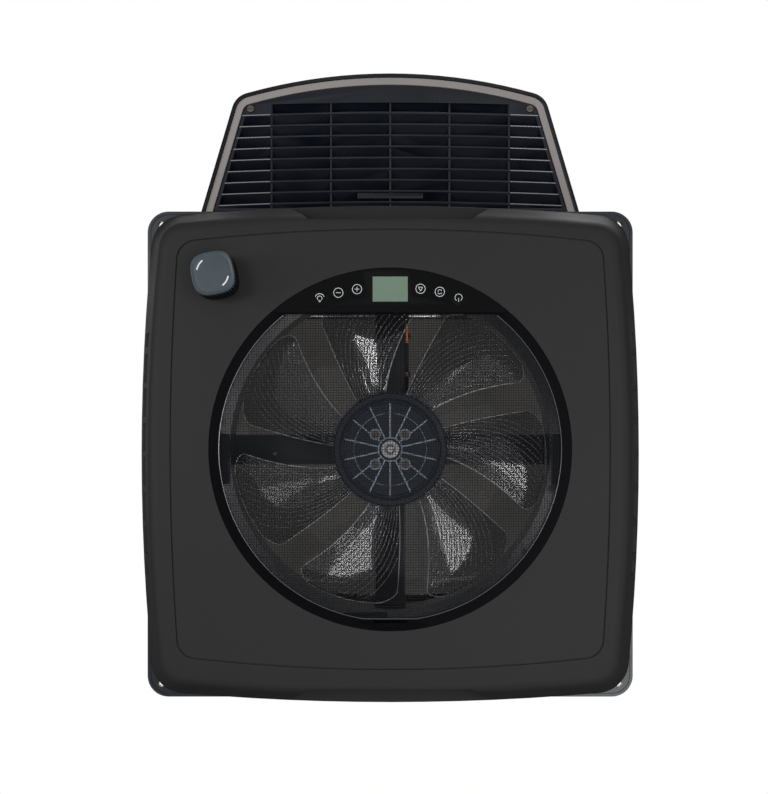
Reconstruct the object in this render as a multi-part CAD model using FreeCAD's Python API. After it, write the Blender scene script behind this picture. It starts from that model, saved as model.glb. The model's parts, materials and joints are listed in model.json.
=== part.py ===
import FreeCAD, Part
import math
import os

# Roof ventilation fan for a cabin or vehicle roof, drawn with its hood raised.
# Millimetres. +Z is up, towards the sky. The origin is the centre of the roof flange, on the
# plane that lies on the roof. +Y is the rear, where the hood's louvred end overhangs.

Vector = FreeCAD.Vector

# ---- driving dimensions -------------------------------------------------------------------
FLANGE_HALF = 208.5       # roof flange, half side
FLANGE_T = 3.5            # flange thickness
FLANGE_CORNER_R = 18.0
HOLE_R = 2.6              # roof screw holes
HOLE_HALF_X = 196.7       # corner holes from the centre
HOLE_HALF_Y = 197.3
HOLE_MID = 98.0           # the holes between the corners
CURB_HALF = 176.0         # wall that stands up round the throat, half side outside
CURB_T = 3.0
CURB_TOP = 45.0
EAR_TOP = 78.0            # ears that carry the lift pivots
EAR_HALF = 16.0
COLLAR_HALF = 174.0       # wall that hangs down into the roof opening
COLLAR_T = 2.5
COLLAR_BOTTOM = -26.0
THROAT_CORNER_R = 14.0

FAN_Y = 4.0               # the fan's axis lies this far behind the flange centre

BEZEL_HALF_X = 213.0      # room-side trim at its base
BEZEL_HALF_Y = 212.5
BEZEL_BULGE_X = 11.0      # how far the middle of a side stands out past its corners
BEZEL_BULGE_Y = 10.0
BEZEL_CORNER_R = 28.0
BEZEL_BASE = -2.6         # it hangs just clear of the roof face's plane
BEZEL_FACE = -38.0
BEZEL_WALL = 2.5
OPENING_R = 148.0         # round opening in the bezel
BEZEL_OUTER = ((BEZEL_BASE, 0.0), (-28.0, 12.5), (-32.5, 14.4), (-36.0, 17.4), (-37.5, 20.0),
               (BEZEL_FACE, 23.5))      # height and inset of the rolled side wall
BEZEL_INNER = ((BEZEL_BASE + 1, 2.3), (-27.0, 15.0), (-31.0, 17.0), (-34.0, 20.0),
               (BEZEL_FACE + BEZEL_WALL, 24.5))
LEDGE_R = 145.8           # ledge that the screen frame rests on
GROOVE_HALF = 179.5       # fine line round the face
GROOVE_W = 1.0
GROOVE_DEPTH = 1.2
GROOVE_BULGE_X = 6.5
GROOVE_BULGE_Y = 10.6
NOTCH_OUTER_X = 100.3     # finger notch at the front and rear, half width past the edge
NOTCH_INNER_X = 67.0
NOTCH_INNER_Y = 191.5
NOTCH_OUTER_Y = 226.0
NOTCH_TOP = -5.0          # the wall's base runs on across the notches
SLOT_PITCH = 28.9         # air slots in the bezel's side walls
SLOT_LEN = 23.3
SLOT_LOW = -19.0
SLOT_HIGH = -9.0

PANEL_R = 147.6           # screen frame and control panel fill this circle
PANEL_FACE = -37.5
PANEL_T = 3.0
PANEL_CHORD = 112.0       # lower edge of the control panel, from the fan axis
FRAME_CHORD = 110.6       # rear end of the screen's window
FRAME_TOP = -33.0
MESH_R = 141.8
MESH_LOW = -36.0
MESH_T = 0.4
SCREEN_INNER_R = 139.5
LOWER_CHORD = -138.0      # the screen frame is solid beyond this chord

SHROUD_R = 142.5          # duct round the blade tips
SHROUD_T = 2.5
SHROUD_BOTTOM = 24.0
SHROUD_TOP = 50.0
DECK_T = 2.5              # deck that joins the duct to the curb
MOUTH_R = 154.0           # shallow bell mouth under the duct
MOUTH_Z = 18.9
LANDING_Z = 16.0          # flat landings in the bell mouth, under the spider's ends
LANDING_R = 153.0

BLADES = 7
TIP_R = 140.0
HUB_R = 50.0
HUB_BOTTOM = 10.0
HUB_TOP = 48.0
HUB_SKIN = 2.5
CAN_R = 36.0              # motor's outer rotor
BLADE_PHASE = 133.5       # tip angle of the first blade, about +Z from +X
BLADE_Z = 33.0
BLADE_SWEEP = 12.0        # degrees by which the root lags the tip
BLADE_HALF_ROOT = 15.0    # half chord, in degrees about the axis
BLADE_HALF_TIP = 20.5
PITCH_ROOT = 38.0
PITCH_TIP = 17.0
BLADE_RISE_MAX = 15.0
CAMBER = 2.5
SHAFT_R = 3.0
RUN_CLEARANCE = 0.05      # radial gap of a shaft in a hole that it turns in

SPIDER_Z = 54.0           # motor spider, underside
SPIDER_T = 4.0
SPIDER_W = 27.0
LEAD_X = -15.4            # the motor's lead, beside the rear arm
POST_R = 158.0            # posts that carry the spider's arms, from the fan axis
POST_HALF_R = 8.0
POST_HALF_W = 10.0
DAMPER_T = 3.0
MOTOR_SCREW_R = 22.0      # circle of the motor's screws
MOTOR_SCREW_HOLE = 2.0
HUB_SCREW_R = 18.4        # circle of the hub's screws
HUB_SCREW_HOLE = 1.6
STATOR_LOW = 24.0
STATOR_HIGH = 38.0
STATOR_BORE = 9.0
STATOR_ANGLES = tuple(range(0, 360, 30))
BEARING_R = 6.5
QUARTERS = (0, 90, 180, 270)
DIAGONALS = (45, 135, 225, 315)

LIFT_LEN = 71.0           # lift arm between its pivots
LIFT_OPEN = 105.0         # arm angle with the hood raised, from +Y towards +Z
PIVOT_Z = 66.0
REAR_PIVOT_Y = 130.0
FRONT_PIVOT_Y = -100.0
ARM_X = 178.0             # inner face of a lift arm
ARM_T = 4.5
ARM_W = 14.0
LIFT_SHAFT_R = 4.0
PIN_R = 3.0

KNOB_X = 140.0
KNOB_Y = 143.0
KNOB_HALF = 17.3
KNOB_FACE = -60.0
KNOB_TURN = -11.3         # the knob's rest angle about +Z
KNOB_FLUTES = 32
WORM_R = 4.2
WORM_LOW = 56.0
WORM_HIGH = 76.0
WHEEL_R = 8.75
WHEEL_X = (135.0, 145.0)
WHEEL_TEETH = 20
BOX_X = (127.0, 153.0)    # gearbox round the worm and wheel
BOX_Y = (115.0, 157.0)
BOX_Z = (50.0, 82.0)
BOX_WALL = 3.5

HOOD_RIM_Z = 106.0        # lowest plane of the raised hood
HOOD_BASE_Z = 112.0
HOOD_TOP = 192.0
HOOD_WALL = 2.5
HOOD_HALF = 197.5
HOOD_REAR = 375.7
HOOD_REAR_CORNER = (153.0, 353.0)
HOOD_SHOULDER_Y = 203.0
HOOD_FRONT = -162.0
HOOD_PROFILE = ((HOOD_BASE_Z, 0.0), (165.0, 4.5), (174.0, 7.0), (181.0, 11.5), (186.0, 19.0), (189.5, 31.0),
                (HOOD_TOP, 52.0))     # height and inset from the rim
RIM_W = 3.5
LEDGE_T = 1.2             # ledge inside the rim, over the seal
SEAL_W = 7.0
SLAT_PITCH = 11.02
SLAT_COUNT = 9
SLAT_FIRST_Y = 332.6      # rearmost slat's lower edge, at the panel's sides
SLAT_BOW = 3.5
RIB_XS = (-117.5, -58.6, 0.0, 58.6, 117.5)
LOUVRE_FRONT = 240.0
LOUVRE_LOW = HOOD_RIM_Z + 1.0
LOUVRE_DEEP = 10.0
LOUVRE_SCREW = (138.0, 340.5)
LOUVRE_SCREW_R = 1.6
BOW_R = 165.0 ** 2 / (2 * SLAT_BOW)     # radius of the slats' bow in plan

KEYS = {
    "light": (57.4, 123.0), "minus": (42.2, 127.6), "plus": (27.0, 130.5),
    "mode": (-24.7, 130.8), "reverse": (-40.4, 128.3), "power": (-55.7, 123.6),
}
KEY_R = 6.5
KEY_GAP = 0.15
LCD_HALF_X = 14.3
LCD_HALF_Y = 10.2
LCD_Y = 130.6
LCD_GLASS = 1.5
BOARD_Z = -32.0           # circuit board behind the keys, room side
BOARD_T = 1.6
HOUSING_TOP = -24.0


# ---- helpers ------------------------------------------------------------------------------
def save(name, *solids):
    shape = solids[0] if len(solids) == 1 else Part.makeCompound(list(solids))
    shape.exportStep("parts/%s.step" % name)


def block(x0, x1, y0, y1, z0, z1):
    return Part.makeBox(x1 - x0, y1 - y0, z1 - z0, Vector(x0, y0, z0))


def disc(r, z0, z1, x=0.0, y=FAN_Y):
    return Part.makeCylinder(r, z1 - z0, Vector(x, y, z0))


def ring(r_out, r_in, z0, z1, x=0.0, y=FAN_Y):
    return disc(r_out, z0, z1, x, y).cut(disc(r_in, z0 - 1, z1 + 1, x, y))


def rod_x(r, x0, x1, y, z):
    return Part.makeCylinder(r, x1 - x0, Vector(x0, y, z), Vector(1, 0, 0))


def turned(shape, degrees, y=FAN_Y):
    copy = shape.copy()
    copy.rotate(Vector(0, y, 0), Vector(0, 0, 1), degrees)
    return copy


def mirrored(shape):
    return shape.mirror(Vector(0, 0, 0), Vector(1, 0, 0))


def fuse_all(solids):
    return solids[0].fuse(solids[1:]).removeSplitter()


def upright_edges(solid):
    return [e for e in solid.Edges
            if e.BoundBox.ZLength > 0.5 and e.BoundBox.XLength < 0.01 and e.BoundBox.YLength < 0.01]


def bottom_wire(solid):
    return min(solid.Faces, key=lambda f: f.CenterOfMass.z).OuterWire


def bulged_wire(half_x, half_y, bulge_x, bulge_y, corner_r, z, y=0.0):
    """A square of four outward arcs with rounded corners."""
    cx = half_x - bulge_x
    cy = half_y - bulge_y
    corners = [Vector(x, y + dy, z) for x, dy in ((cx, -cy), (cx, cy), (-cx, cy), (-cx, -cy))]
    middles = [Vector(x, y + dy, z) for x, dy in ((half_x, 0), (0, half_y), (-half_x, 0), (0, -half_y))]
    arcs = [Part.Arc(corners[i], middles[i], corners[(i + 1) % 4]).toShape() for i in range(4)]
    slab = Part.Face(Part.Wire(arcs)).extrude(Vector(0, 0, 1))
    return bottom_wire(slab.makeFillet(corner_r, upright_edges(slab)))


def rounded_block(half_x, half_y, corner_r, z0, z1):
    slab = block(-half_x, half_x, -half_y, half_y, z0, z1)
    return slab.makeFillet(corner_r, upright_edges(slab))


def square_wall(half, thickness, corner_r, z0, z1):
    outer = rounded_block(half, half, corner_r, z0, z1)
    inner = rounded_block(half - thickness, half - thickness, corner_r - thickness, z0 - 1, z1 + 1)
    return outer.cut(inner)


def segment(r, chord_y, z0, z1):
    """The part of a disc about the fan axis that lies behind a chord."""
    return disc(r, z0, z1).common(block(-r, r, FAN_Y + chord_y, FAN_Y + r + 1, z0 - 1, z1 + 1))


def round_the_axis(shape, angles):
    return [turned(shape, angle) for angle in angles]


def prism(points, z0, z1):
    wire = Part.makePolygon([Vector(x, y, z0) for x, y in points + points[:1]])
    return Part.Face(wire).extrude(Vector(0, 0, z1 - z0))


# ---- roof flange, curb and collar -----------------------------------------------------------
def make_base():
    plate = rounded_block(FLANGE_HALF, FLANGE_HALF, FLANGE_CORNER_R, 0.0, FLANGE_T)
    throat = CURB_HALF - CURB_T
    plate = plate.cut(rounded_block(throat, throat, THROAT_CORNER_R - CURB_T, -1, FLANGE_T + 1))
    curb = square_wall(CURB_HALF, CURB_T, THROAT_CORNER_R, 0.0, CURB_TOP)
    collar = square_wall(COLLAR_HALF, COLLAR_T, THROAT_CORNER_R - 2, COLLAR_BOTTOM, 0.5)
    solids = [plate, curb, collar]
    for side in (-1, 1):
        for pivot_y in (REAR_PIVOT_Y, FRONT_PIVOT_Y):
            x0, x1 = sorted((side * throat, side * CURB_HALF))
            ear = block(x0, x1, pivot_y - EAR_HALF, pivot_y + EAR_HALF, CURB_TOP - 5, PIVOT_Z)
            crown = rod_x(EAR_TOP - PIVOT_Z, x0, x1, pivot_y, PIVOT_Z)
            solids += [ear, crown]
    base = fuse_all(solids)
    # a fine recess just inside the flange's edge, under it, keeps the sealant in
    base = base.cut(square_wall(FLANGE_HALF - 2.5, 1.0, FLANGE_CORNER_R - 2.5, -1, 0.7))
    holes = []
    for sx in (-1, 1):
        for sy in (-1, 1):
            for x, y in ((HOLE_HALF_X, HOLE_HALF_Y), (HOLE_MID, HOLE_HALF_Y), (HOLE_HALF_X, HOLE_MID)):
                holes.append(disc(HOLE_R, -1, FLANGE_T + 1, sx * x, sy * y))
    for pivot_y, r in ((REAR_PIVOT_Y, 6.0), (FRONT_PIVOT_Y, PIN_R)):
        for x0 in (-CURB_HALF - 1, throat - 1):
            holes.append(rod_x(r, x0, x0 + CURB_T + 2, pivot_y, PIVOT_Z))
    return base.cut(holes)


# ---- bezel ----------------------------------------------------------------------------------
def bezel_section(z, inset):
    return bulged_wire(BEZEL_HALF_X - inset, BEZEL_HALF_Y - inset, BEZEL_BULGE_X, BEZEL_BULGE_Y,
                       BEZEL_CORNER_R - 0.45 * inset, z)


def notch(margin, z0, z1, side):
    """Finger recess in the rolled edge, wider at the outside."""
    half = [(NOTCH_INNER_X + margin, NOTCH_INNER_Y - margin), (NOTCH_OUTER_X + margin, NOTCH_OUTER_Y)]
    points = [(-x, y) for x, y in reversed(half)] + half
    return prism([(x, side * y) for x, y in points], z0, z1)


def bezel_solid(profile):
    return Part.makeLoft([bezel_section(z, inset) for z, inset in profile], True, True)


def groove_face(inset, corner_r):
    half = GROOVE_HALF - inset
    return Part.Face(bulged_wire(half, half, GROOVE_BULGE_X, GROOVE_BULGE_Y, corner_r, BEZEL_FACE - 1, FAN_Y))


def make_bezel():
    outer = bezel_solid(BEZEL_OUTER)
    inner = bezel_solid(BEZEL_INNER)
    for side in (-1, 1):
        outer = outer.cut(notch(0.0, BEZEL_FACE - 1, NOTCH_TOP, side))
        inner = inner.cut(notch(BEZEL_WALL, BEZEL_FACE - 1, NOTCH_TOP + BEZEL_WALL, side))
    shell = outer.cut(inner).cut(disc(OPENING_R, BEZEL_FACE - 1, 0.0))
    lip = ring(OPENING_R + BEZEL_WALL, OPENING_R, BEZEL_FACE + 0.5, -20.0)
    ledge = ring(OPENING_R + 0.5, LEDGE_R, FRAME_TOP, FRAME_TOP + 2.0)
    shell = fuse_all([shell, lip, ledge])
    groove = groove_face(0.0, 16.0).cut(groove_face(GROOVE_W, 15.2))
    shell = shell.cut(groove.extrude(Vector(0, 0, 1 + GROOVE_DEPTH)))
    knob_hole = disc(SHAFT_R + 1.0, BEZEL_FACE - 1, BEZEL_FACE + BEZEL_WALL + 1, KNOB_X, KNOB_Y)
    return shell.cut(make_air_slots() + [knob_hole])


def make_air_slots():
    """Six long slots and two short ones through each side wall."""
    places = [((i - 2.5) * SLOT_PITCH, SLOT_LEN) for i in range(6)] + [(-96.0, 11.0), (96.0, 11.0)]
    slots = []
    for side in (-1, 1):
        x0, x1 = sorted((side * 196.0, side * 216.0))
        slots += [block(x0, x1, y - length / 2, y + length / 2, SLOT_LOW, SLOT_HIGH) for y, length in places]
    return slots


def make_bezel_clips():
    """Spring clips on the collar. Each leg reaches out to just short of the bezel's wall."""
    half_w, sheet, reach, low, high = 8.0, 1.2, 22.0, -22.0, -6.0
    clips = []
    for turn in QUARTERS:
        for along in (-95.0, 95.0):
            y0, y1 = along - half_w, along + half_w
            plate = block(COLLAR_HALF, COLLAR_HALF + sheet, y0, y1, low, high)
            leg = block(COLLAR_HALF, COLLAR_HALF + reach, y0, y1, low, low + sheet)
            clips.append(turned(fuse_all([plate, leg]), turn, 0.0))
    return clips


# ---- insect screen --------------------------------------------------------------------------
LATCH = (-13.0, 13.0, -146.0, -141.0)     # x and fan-axis y limits of the latch at rest
LATCH_TRAVEL = 2.6
LATCH_TOP = -34.5


def slab_between(y0, y1):
    """A wide block through the screen's thickness, between two distances from the fan axis."""
    return block(-PANEL_R - 2, PANEL_R + 2, FAN_Y + y0, FAN_Y + y1, PANEL_FACE - 2, FRAME_TOP + 4)


def make_screen_frame():
    body = disc(PANEL_R, PANEL_FACE, FRAME_TOP)
    front = disc(SCREEN_INNER_R, PANEL_FACE - 1, FRAME_TOP + 3)
    pocket = disc(MESH_R, MESH_LOW, FRAME_TOP + 3)
    window = slab_between(LOWER_CHORD, FRAME_CHORD)
    behind = slab_between(PANEL_CHORD - 0.4, PANEL_R + 2)
    frame = body.cut([front.common(window), pocket.common(window), behind])
    y0 = FAN_Y + LATCH[2]
    y1 = FAN_Y + LATCH[3] + LATCH_TRAVEL + 0.1
    return frame.cut(block(LATCH[0] - 0.2, LATCH[1] + 0.2, y0, y1, PANEL_FACE - 1, LATCH_TOP + 0.1))


def make_screen_mesh():
    return disc(MESH_R, MESH_LOW, MESH_LOW + MESH_T).common(slab_between(LOWER_CHORD, FRAME_CHORD))


def make_screen_latch():
    y0 = FAN_Y + LATCH[2]
    y1 = FAN_Y + LATCH[3]
    body = block(LATCH[0], LATCH[1], y0 + 0.1, y1, PANEL_FACE, LATCH_TOP)
    ridges = [block(x - 0.4, x + 0.4, y0 + 0.8, y1 - 0.7, PANEL_FACE - 0.6, PANEL_FACE + 0.2)
              for x in (-8.0, -4.0, 0.0, 4.0, 8.0)]
    return fuse_all([body] + ridges)


# ---- control panel --------------------------------------------------------------------------
def lcd_block(z0, z1):
    return block(-LCD_HALF_X, LCD_HALF_X, FAN_Y + LCD_Y - LCD_HALF_Y, FAN_Y + LCD_Y + LCD_HALF_Y, z0, z1)


def make_control_panel():
    panel = segment(PANEL_R, PANEL_CHORD, PANEL_FACE, PANEL_FACE + PANEL_T)
    cuts = [disc(KEY_R + KEY_GAP, -40, -30, x, FAN_Y + y) for x, y in KEYS.values()]
    cuts.append(lcd_block(-40, -30))
    return panel.cut(cuts)


def make_key(name):
    x, y = KEYS[name]
    cap = disc(KEY_R, PANEL_FACE, PANEL_FACE + 2.6, x, FAN_Y + y)
    stem = disc(2.0, PANEL_FACE + 2.6, -33.75, x, FAN_Y + y)
    return cap.fuse(stem).removeSplitter()


def make_key_domes():
    return [disc(3.0, BOARD_Z - 1.2, BOARD_Z, x, FAN_Y + y) for x, y in KEYS.values()]


def make_lcd_window():
    return lcd_block(PANEL_FACE, PANEL_FACE + LCD_GLASS)


def make_lcd_module():
    return lcd_block(PANEL_FACE + LCD_GLASS, BOARD_Z)


def make_control_board():
    board = segment(143.0, PANEL_CHORD + 4.0, BOARD_Z, BOARD_Z + BOARD_T)
    return board.common(block(-70, 70, 0, 200, BOARD_Z - 1, BOARD_Z + BOARD_T + 1))


def make_control_housing():
    wall = 1.8
    outer = segment(145.3, PANEL_CHORD + 0.5, PANEL_FACE + PANEL_T, HOUSING_TOP)
    inner = segment(145.3 - wall, PANEL_CHORD + 0.5 + wall, PANEL_FACE + PANEL_T - 1, HOUSING_TOP - wall)
    rests = [disc(3.0, BOARD_Z + BOARD_T, HOUSING_TOP - 1, x, FAN_Y + 120.0) for x in (-64.0, 0.0, 64.0)]
    socket = block(LEAD_X - 5, LEAD_X + 5, FAN_Y + 126, FAN_Y + 136, HOUSING_TOP - 2, HOUSING_TOP + 2)
    return fuse_all([outer.cut(inner), socket] + rests)


def make_power_terminal():
    top = HOUSING_TOP + 10.0
    body = block(30, 54, FAN_Y + 120, FAN_Y + 134, HOUSING_TOP, top)
    ports = [disc(2.4, top - 5, top + 1, x, FAN_Y + 127) for x in (37.0, 47.0)]
    return body.cut(ports)


# ---- fan duct, spider and motor ---------------------------------------------------------------
def arm_post(z0, z1):
    """The footprint of one spider end, on the +X side."""
    return block(POST_R - POST_HALF_R, POST_R + POST_HALF_R, FAN_Y - POST_HALF_W, FAN_Y + POST_HALF_W, z0, z1)


def make_landings():
    """Flat blocks in the bell mouth, at the left, right and front, set towards one side of the arms."""
    side = block(SHROUD_R, LANDING_R, FAN_Y - 30.3, FAN_Y + SPIDER_W / 2, LANDING_Z, SHROUD_BOTTOM + 0.5)
    front = block(2.8, 42.0, FAN_Y - LANDING_R, FAN_Y - 144.7, LANDING_Z, SHROUD_BOTTOM + 0.5)
    return [side, mirrored(side), front]


def make_shroud():
    half = CURB_HALF - CURB_T - 0.5
    deck_top = SHROUD_BOTTOM + DECK_T
    deck = rounded_block(half, half, 10.0, SHROUD_BOTTOM, deck_top)
    deck = deck.cut(disc(SHROUD_R, SHROUD_BOTTOM - 1, deck_top + 1))
    duct = ring(SHROUD_R + SHROUD_T, SHROUD_R, SHROUD_BOTTOM, SHROUD_TOP)
    height = SHROUD_BOTTOM - MOUTH_Z
    flare = Part.makeCone(MOUTH_R, SHROUD_R, height, Vector(0, FAN_Y, MOUTH_Z))
    mouth = disc(MOUTH_R + SHROUD_T, MOUTH_Z, SHROUD_BOTTOM).cut(flare)
    posts = round_the_axis(arm_post(SHROUD_BOTTOM, SPIDER_Z - DAMPER_T), QUARTERS)
    shroud = fuse_all([deck, duct, mouth] + posts + make_landings())
    bores = round_the_axis(disc(2.5, SPIDER_Z - 22, SPIDER_Z + 1, POST_R), QUARTERS)
    bores.append(disc(6.0, SHROUD_BOTTOM - 1, deck_top + 1, KNOB_X, KNOB_Y))
    bores.append(disc(4.0, SHROUD_BOTTOM - 1, deck_top + 1, LEAD_X, FAN_Y + POST_R))
    return shroud.cut(bores)


def make_spider_dampers():
    pad = arm_post(SPIDER_Z - DAMPER_T, SPIDER_Z).cut(disc(2.5, SPIDER_Z - 4, SPIDER_Z + 1, POST_R))
    return round_the_axis(pad, QUARTERS)


def make_spider():
    top = SPIDER_Z + SPIDER_T
    arm = block(0, POST_R + 9, FAN_Y - SPIDER_W / 2, FAN_Y + SPIDER_W / 2, SPIDER_Z, top)
    web = block(40, POST_R + 2, FAN_Y - 1.5, FAN_Y + 1.5, top, top + 3.0)
    web = web.cut(disc(6.5, SPIDER_Z, top + 6, POST_R))
    solids = [disc(46.0, SPIDER_Z, top)] + round_the_axis(arm, QUARTERS) + round_the_axis(web, QUARTERS)
    holes = round_the_axis(disc(2.5, SPIDER_Z - 1, top + 5, POST_R), QUARTERS)
    holes += round_the_axis(disc(MOTOR_SCREW_HOLE + 0.1, SPIDER_Z - 1, top + 5, MOTOR_SCREW_R), DIAGONALS)
    holes.append(disc(1.8, SPIDER_Z - 1, top + 5, 106.8, FAN_Y - 4.0))
    return fuse_all(solids).cut(holes)


def screw_up(r, head_r, x, z_tip, z_head, head_h):
    """A screw that stands upright with its pan head on top."""
    return disc(r, z_tip, z_head + 0.5, x).fuse(disc(head_r, z_head, z_head + head_h, x)).removeSplitter()


def make_spider_screws():
    screw = screw_up(2.45, 5.0, POST_R, SPIDER_Z - 18, SPIDER_Z + SPIDER_T, 3.0)
    return round_the_axis(screw, QUARTERS)


def make_motor_screws():
    screw = screw_up(MOTOR_SCREW_HOLE, 3.6, MOTOR_SCREW_R, 50.0, SPIDER_Z + SPIDER_T, 2.6)
    return round_the_axis(screw, DIAGONALS)


def make_motor_base():
    flange = disc(28.0, 49.5, SPIDER_Z)
    tube = disc(STATOR_BORE, 20.0, 50.0)
    body = flange.fuse(tube).removeSplitter()
    cuts = [disc(BEARING_R, 19.0, 27.0), disc(BEARING_R, 43.0, 50.0), disc(4.5, 26.0, 44.0)]
    cuts += round_the_axis(disc(MOTOR_SCREW_HOLE, 49.0, SPIDER_Z + 1, MOTOR_SCREW_R), DIAGONALS)
    return body.cut(cuts)


def make_stator_core():
    core = ring(16.0, STATOR_BORE, STATOR_LOW, STATOR_HIGH)
    tooth = block(14.0, 28.5, FAN_Y - 2.0, FAN_Y + 2.0, STATOR_LOW, STATOR_HIGH)
    shoe = ring(30.3, 28.0, STATOR_LOW, STATOR_HIGH)
    shoe = shoe.common(block(20, 32, FAN_Y - 6.2, FAN_Y + 6.2, STATOR_LOW - 1, STATOR_HIGH + 1))
    return fuse_all([core] + round_the_axis(tooth, STATOR_ANGLES) + round_the_axis(shoe, STATOR_ANGLES))


def make_windings():
    coil = block(17.5, 27.0, FAN_Y - 3.6, FAN_Y + 3.6, STATOR_LOW - 2, STATOR_HIGH + 2)
    coil = coil.cut(block(16.0, 28.0, FAN_Y - 2.0, FAN_Y + 2.0, STATOR_LOW, STATOR_HIGH))
    return round_the_axis(coil, STATOR_ANGLES)


def make_bearings():
    return [ring(BEARING_R, SHAFT_R + RUN_CLEARANCE, z, z + 5.0) for z in (22.0, 43.0)]


def hub_screw_holes():
    return round_the_axis(disc(HUB_SCREW_HOLE, 0, 20, HUB_SCREW_R), DIAGONALS)


def make_rotor_can():
    floor = HUB_BOTTOM + HUB_SKIN
    can = disc(CAN_R, floor, 44.0).cut([disc(CAN_R - 2.0, floor + 2.0, 45.0), disc(SHAFT_R, 0, 45)])
    return can.cut(hub_screw_holes())


def make_magnets():
    arc = ring(CAN_R - 2.0, 31.2, 18.0, 42.0)
    gap = block(30, 35, FAN_Y - 0.4, FAN_Y + 0.4, 17, 43)
    return arc.cut(round_the_axis(gap, range(0, 360, 36))).Solids


def make_blade():
    """One swept blade: thin flat-ended sections at rising radii, each turned to its own pitch."""
    sections = []
    for r in (HUB_R - 6.0, 68.0, 90.0, 112.0, 129.0, TIP_R + 1.0):
        part = min(max((r - HUB_R) / (TIP_R - HUB_R), 0.0), 1.0)
        sweep = math.radians(BLADE_PHASE - BLADE_SWEEP * (1.0 - part) ** 1.2)
        half = math.radians(BLADE_HALF_ROOT + (BLADE_HALF_TIP - BLADE_HALF_ROOT) * part) * r
        pitch = math.radians(PITCH_ROOT + (PITCH_TIP - PITCH_ROOT) * part)
        rise = min(math.tan(pitch) * half, BLADE_RISE_MAX)
        along = Vector(-math.sin(sweep), math.cos(sweep), 0)
        centre = Vector(0, FAN_Y, BLADE_Z) + Vector(math.cos(sweep), math.sin(sweep), 0) * r
        points = []
        for s, t in ((-1, 0.6), (-0.5, 1.0), (0, 1.1), (0.5, 1.0), (1, 0.6),
                     (1, -0.6), (0.5, -1.0), (0, -1.1), (-0.5, -1.0), (-1, -0.6)):
            points.append(centre + along * (s * half) + Vector(0, 0, CAMBER * (1 - s * s) - s * rise + t))
        sections.append(Part.makePolygon(points + points[:1]))
    blade = Part.makeLoft(sections, True, True)
    return blade.common(ring(TIP_R, HUB_R - 0.6, 0, 70))


def make_fan_rotor():
    cup = disc(HUB_R - HUB_SKIN, HUB_BOTTOM + HUB_SKIN, HUB_TOP + 1)
    hub = disc(HUB_R, HUB_BOTTOM, HUB_TOP).cut(cup)
    rotor = hub.fuse(round_the_axis(make_blade(), [i * 360.0 / BLADES for i in range(BLADES)]))
    rib = block(22.0, 42.0, FAN_Y - 0.8, FAN_Y + 0.8, HUB_BOTTOM - 1.5, HUB_BOTTOM + 1)
    ribs = round_the_axis(rib, [22.5 + i * 45.0 for i in range(8)])
    rim = ring(43.0, 41.4, HUB_BOTTOM - 1.5, HUB_BOTTOM + 1)
    rotor = rotor.fuse(ribs + [rim]).removeSplitter()
    return rotor.cut(hub_screw_holes() + [disc(SHAFT_R, 0, 20)])


def make_hub_screws():
    head = disc(3.4, HUB_BOTTOM - 2.2, HUB_BOTTOM, HUB_SCREW_R)
    shank = disc(HUB_SCREW_HOLE, HUB_BOTTOM - 0.5, HUB_BOTTOM + 4.5, HUB_SCREW_R)
    screw = head.fuse(shank).removeSplitter()
    x0, x1 = HUB_SCREW_R - 0.4, HUB_SCREW_R + 0.4
    slot = block(x0, x1, FAN_Y - 2.4, FAN_Y + 2.4, HUB_BOTTOM - 3, HUB_BOTTOM - 1.2)
    return round_the_axis(screw.cut(slot), DIAGONALS)


def make_hub_nut():
    corners = [math.radians(a) for a in range(0, 360, 60)]
    points = [(4.6 * math.cos(a), FAN_Y + 4.6 * math.sin(a)) for a in corners]
    return prism(points, HUB_BOTTOM - 5.0, HUB_BOTTOM - 1.0).cut(disc(SHAFT_R, 0, 20))


def make_hub_washer():
    return ring(7.7, SHAFT_R, HUB_BOTTOM - 1.0, HUB_BOTTOM)


def make_motor_shaft():
    return disc(SHAFT_R, HUB_BOTTOM - 6.2, 48.5)


# ---- motor lead -------------------------------------------------------------------------------
LEAD_R = 1.6
LEAD_BEND = 9.0
LEAD_HIGH = 60.2          # it runs along beside the rear arm, then down through the deck
LEAD_LOW = -17.0
LEAD_ROUTE = [(48.0, LEAD_HIGH), (POST_R, LEAD_HIGH), (POST_R, LEAD_LOW), (131.0, LEAD_LOW),
              (131.0, HOUSING_TOP + 2.0)]     # distance behind the fan axis, and height


def bend_at(before, corner, after, radius):
    """The arc that rounds one square corner of a route."""
    back = (before - corner).normalize()
    on = (after - corner).normalize()
    middle = corner + (back + on).normalize() * (radius * (math.sqrt(2.0) - 1.0))
    return corner + back * radius, middle, corner + on * radius


def make_motor_lead():
    route = [Vector(LEAD_X, FAN_Y + y, z) for y, z in LEAD_ROUTE]
    edges = []
    here = route[0]
    for i in range(1, len(route) - 1):
        radius = LEAD_BEND if i < 3 else 4.5
        start, middle, end = bend_at(route[i - 1], route[i], route[i + 1], radius)
        edges.append(Part.LineSegment(here, start).toShape())
        edges.append(Part.Arc(start, middle, end).toShape())
        here = end
    edges.append(Part.LineSegment(here, route[-1]).toShape())
    path = Part.Wire(edges)
    section = Part.Wire(Part.Circle(route[0], Vector(0, 1, 0), LEAD_R).toShape())
    lead = path.makePipeShell([section], True, False)
    print("lead length %.1f, volume against section x length %.4f" % (
        path.Length, lead.Volume / (math.pi * LEAD_R ** 2 * path.Length)))
    return lead


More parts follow.
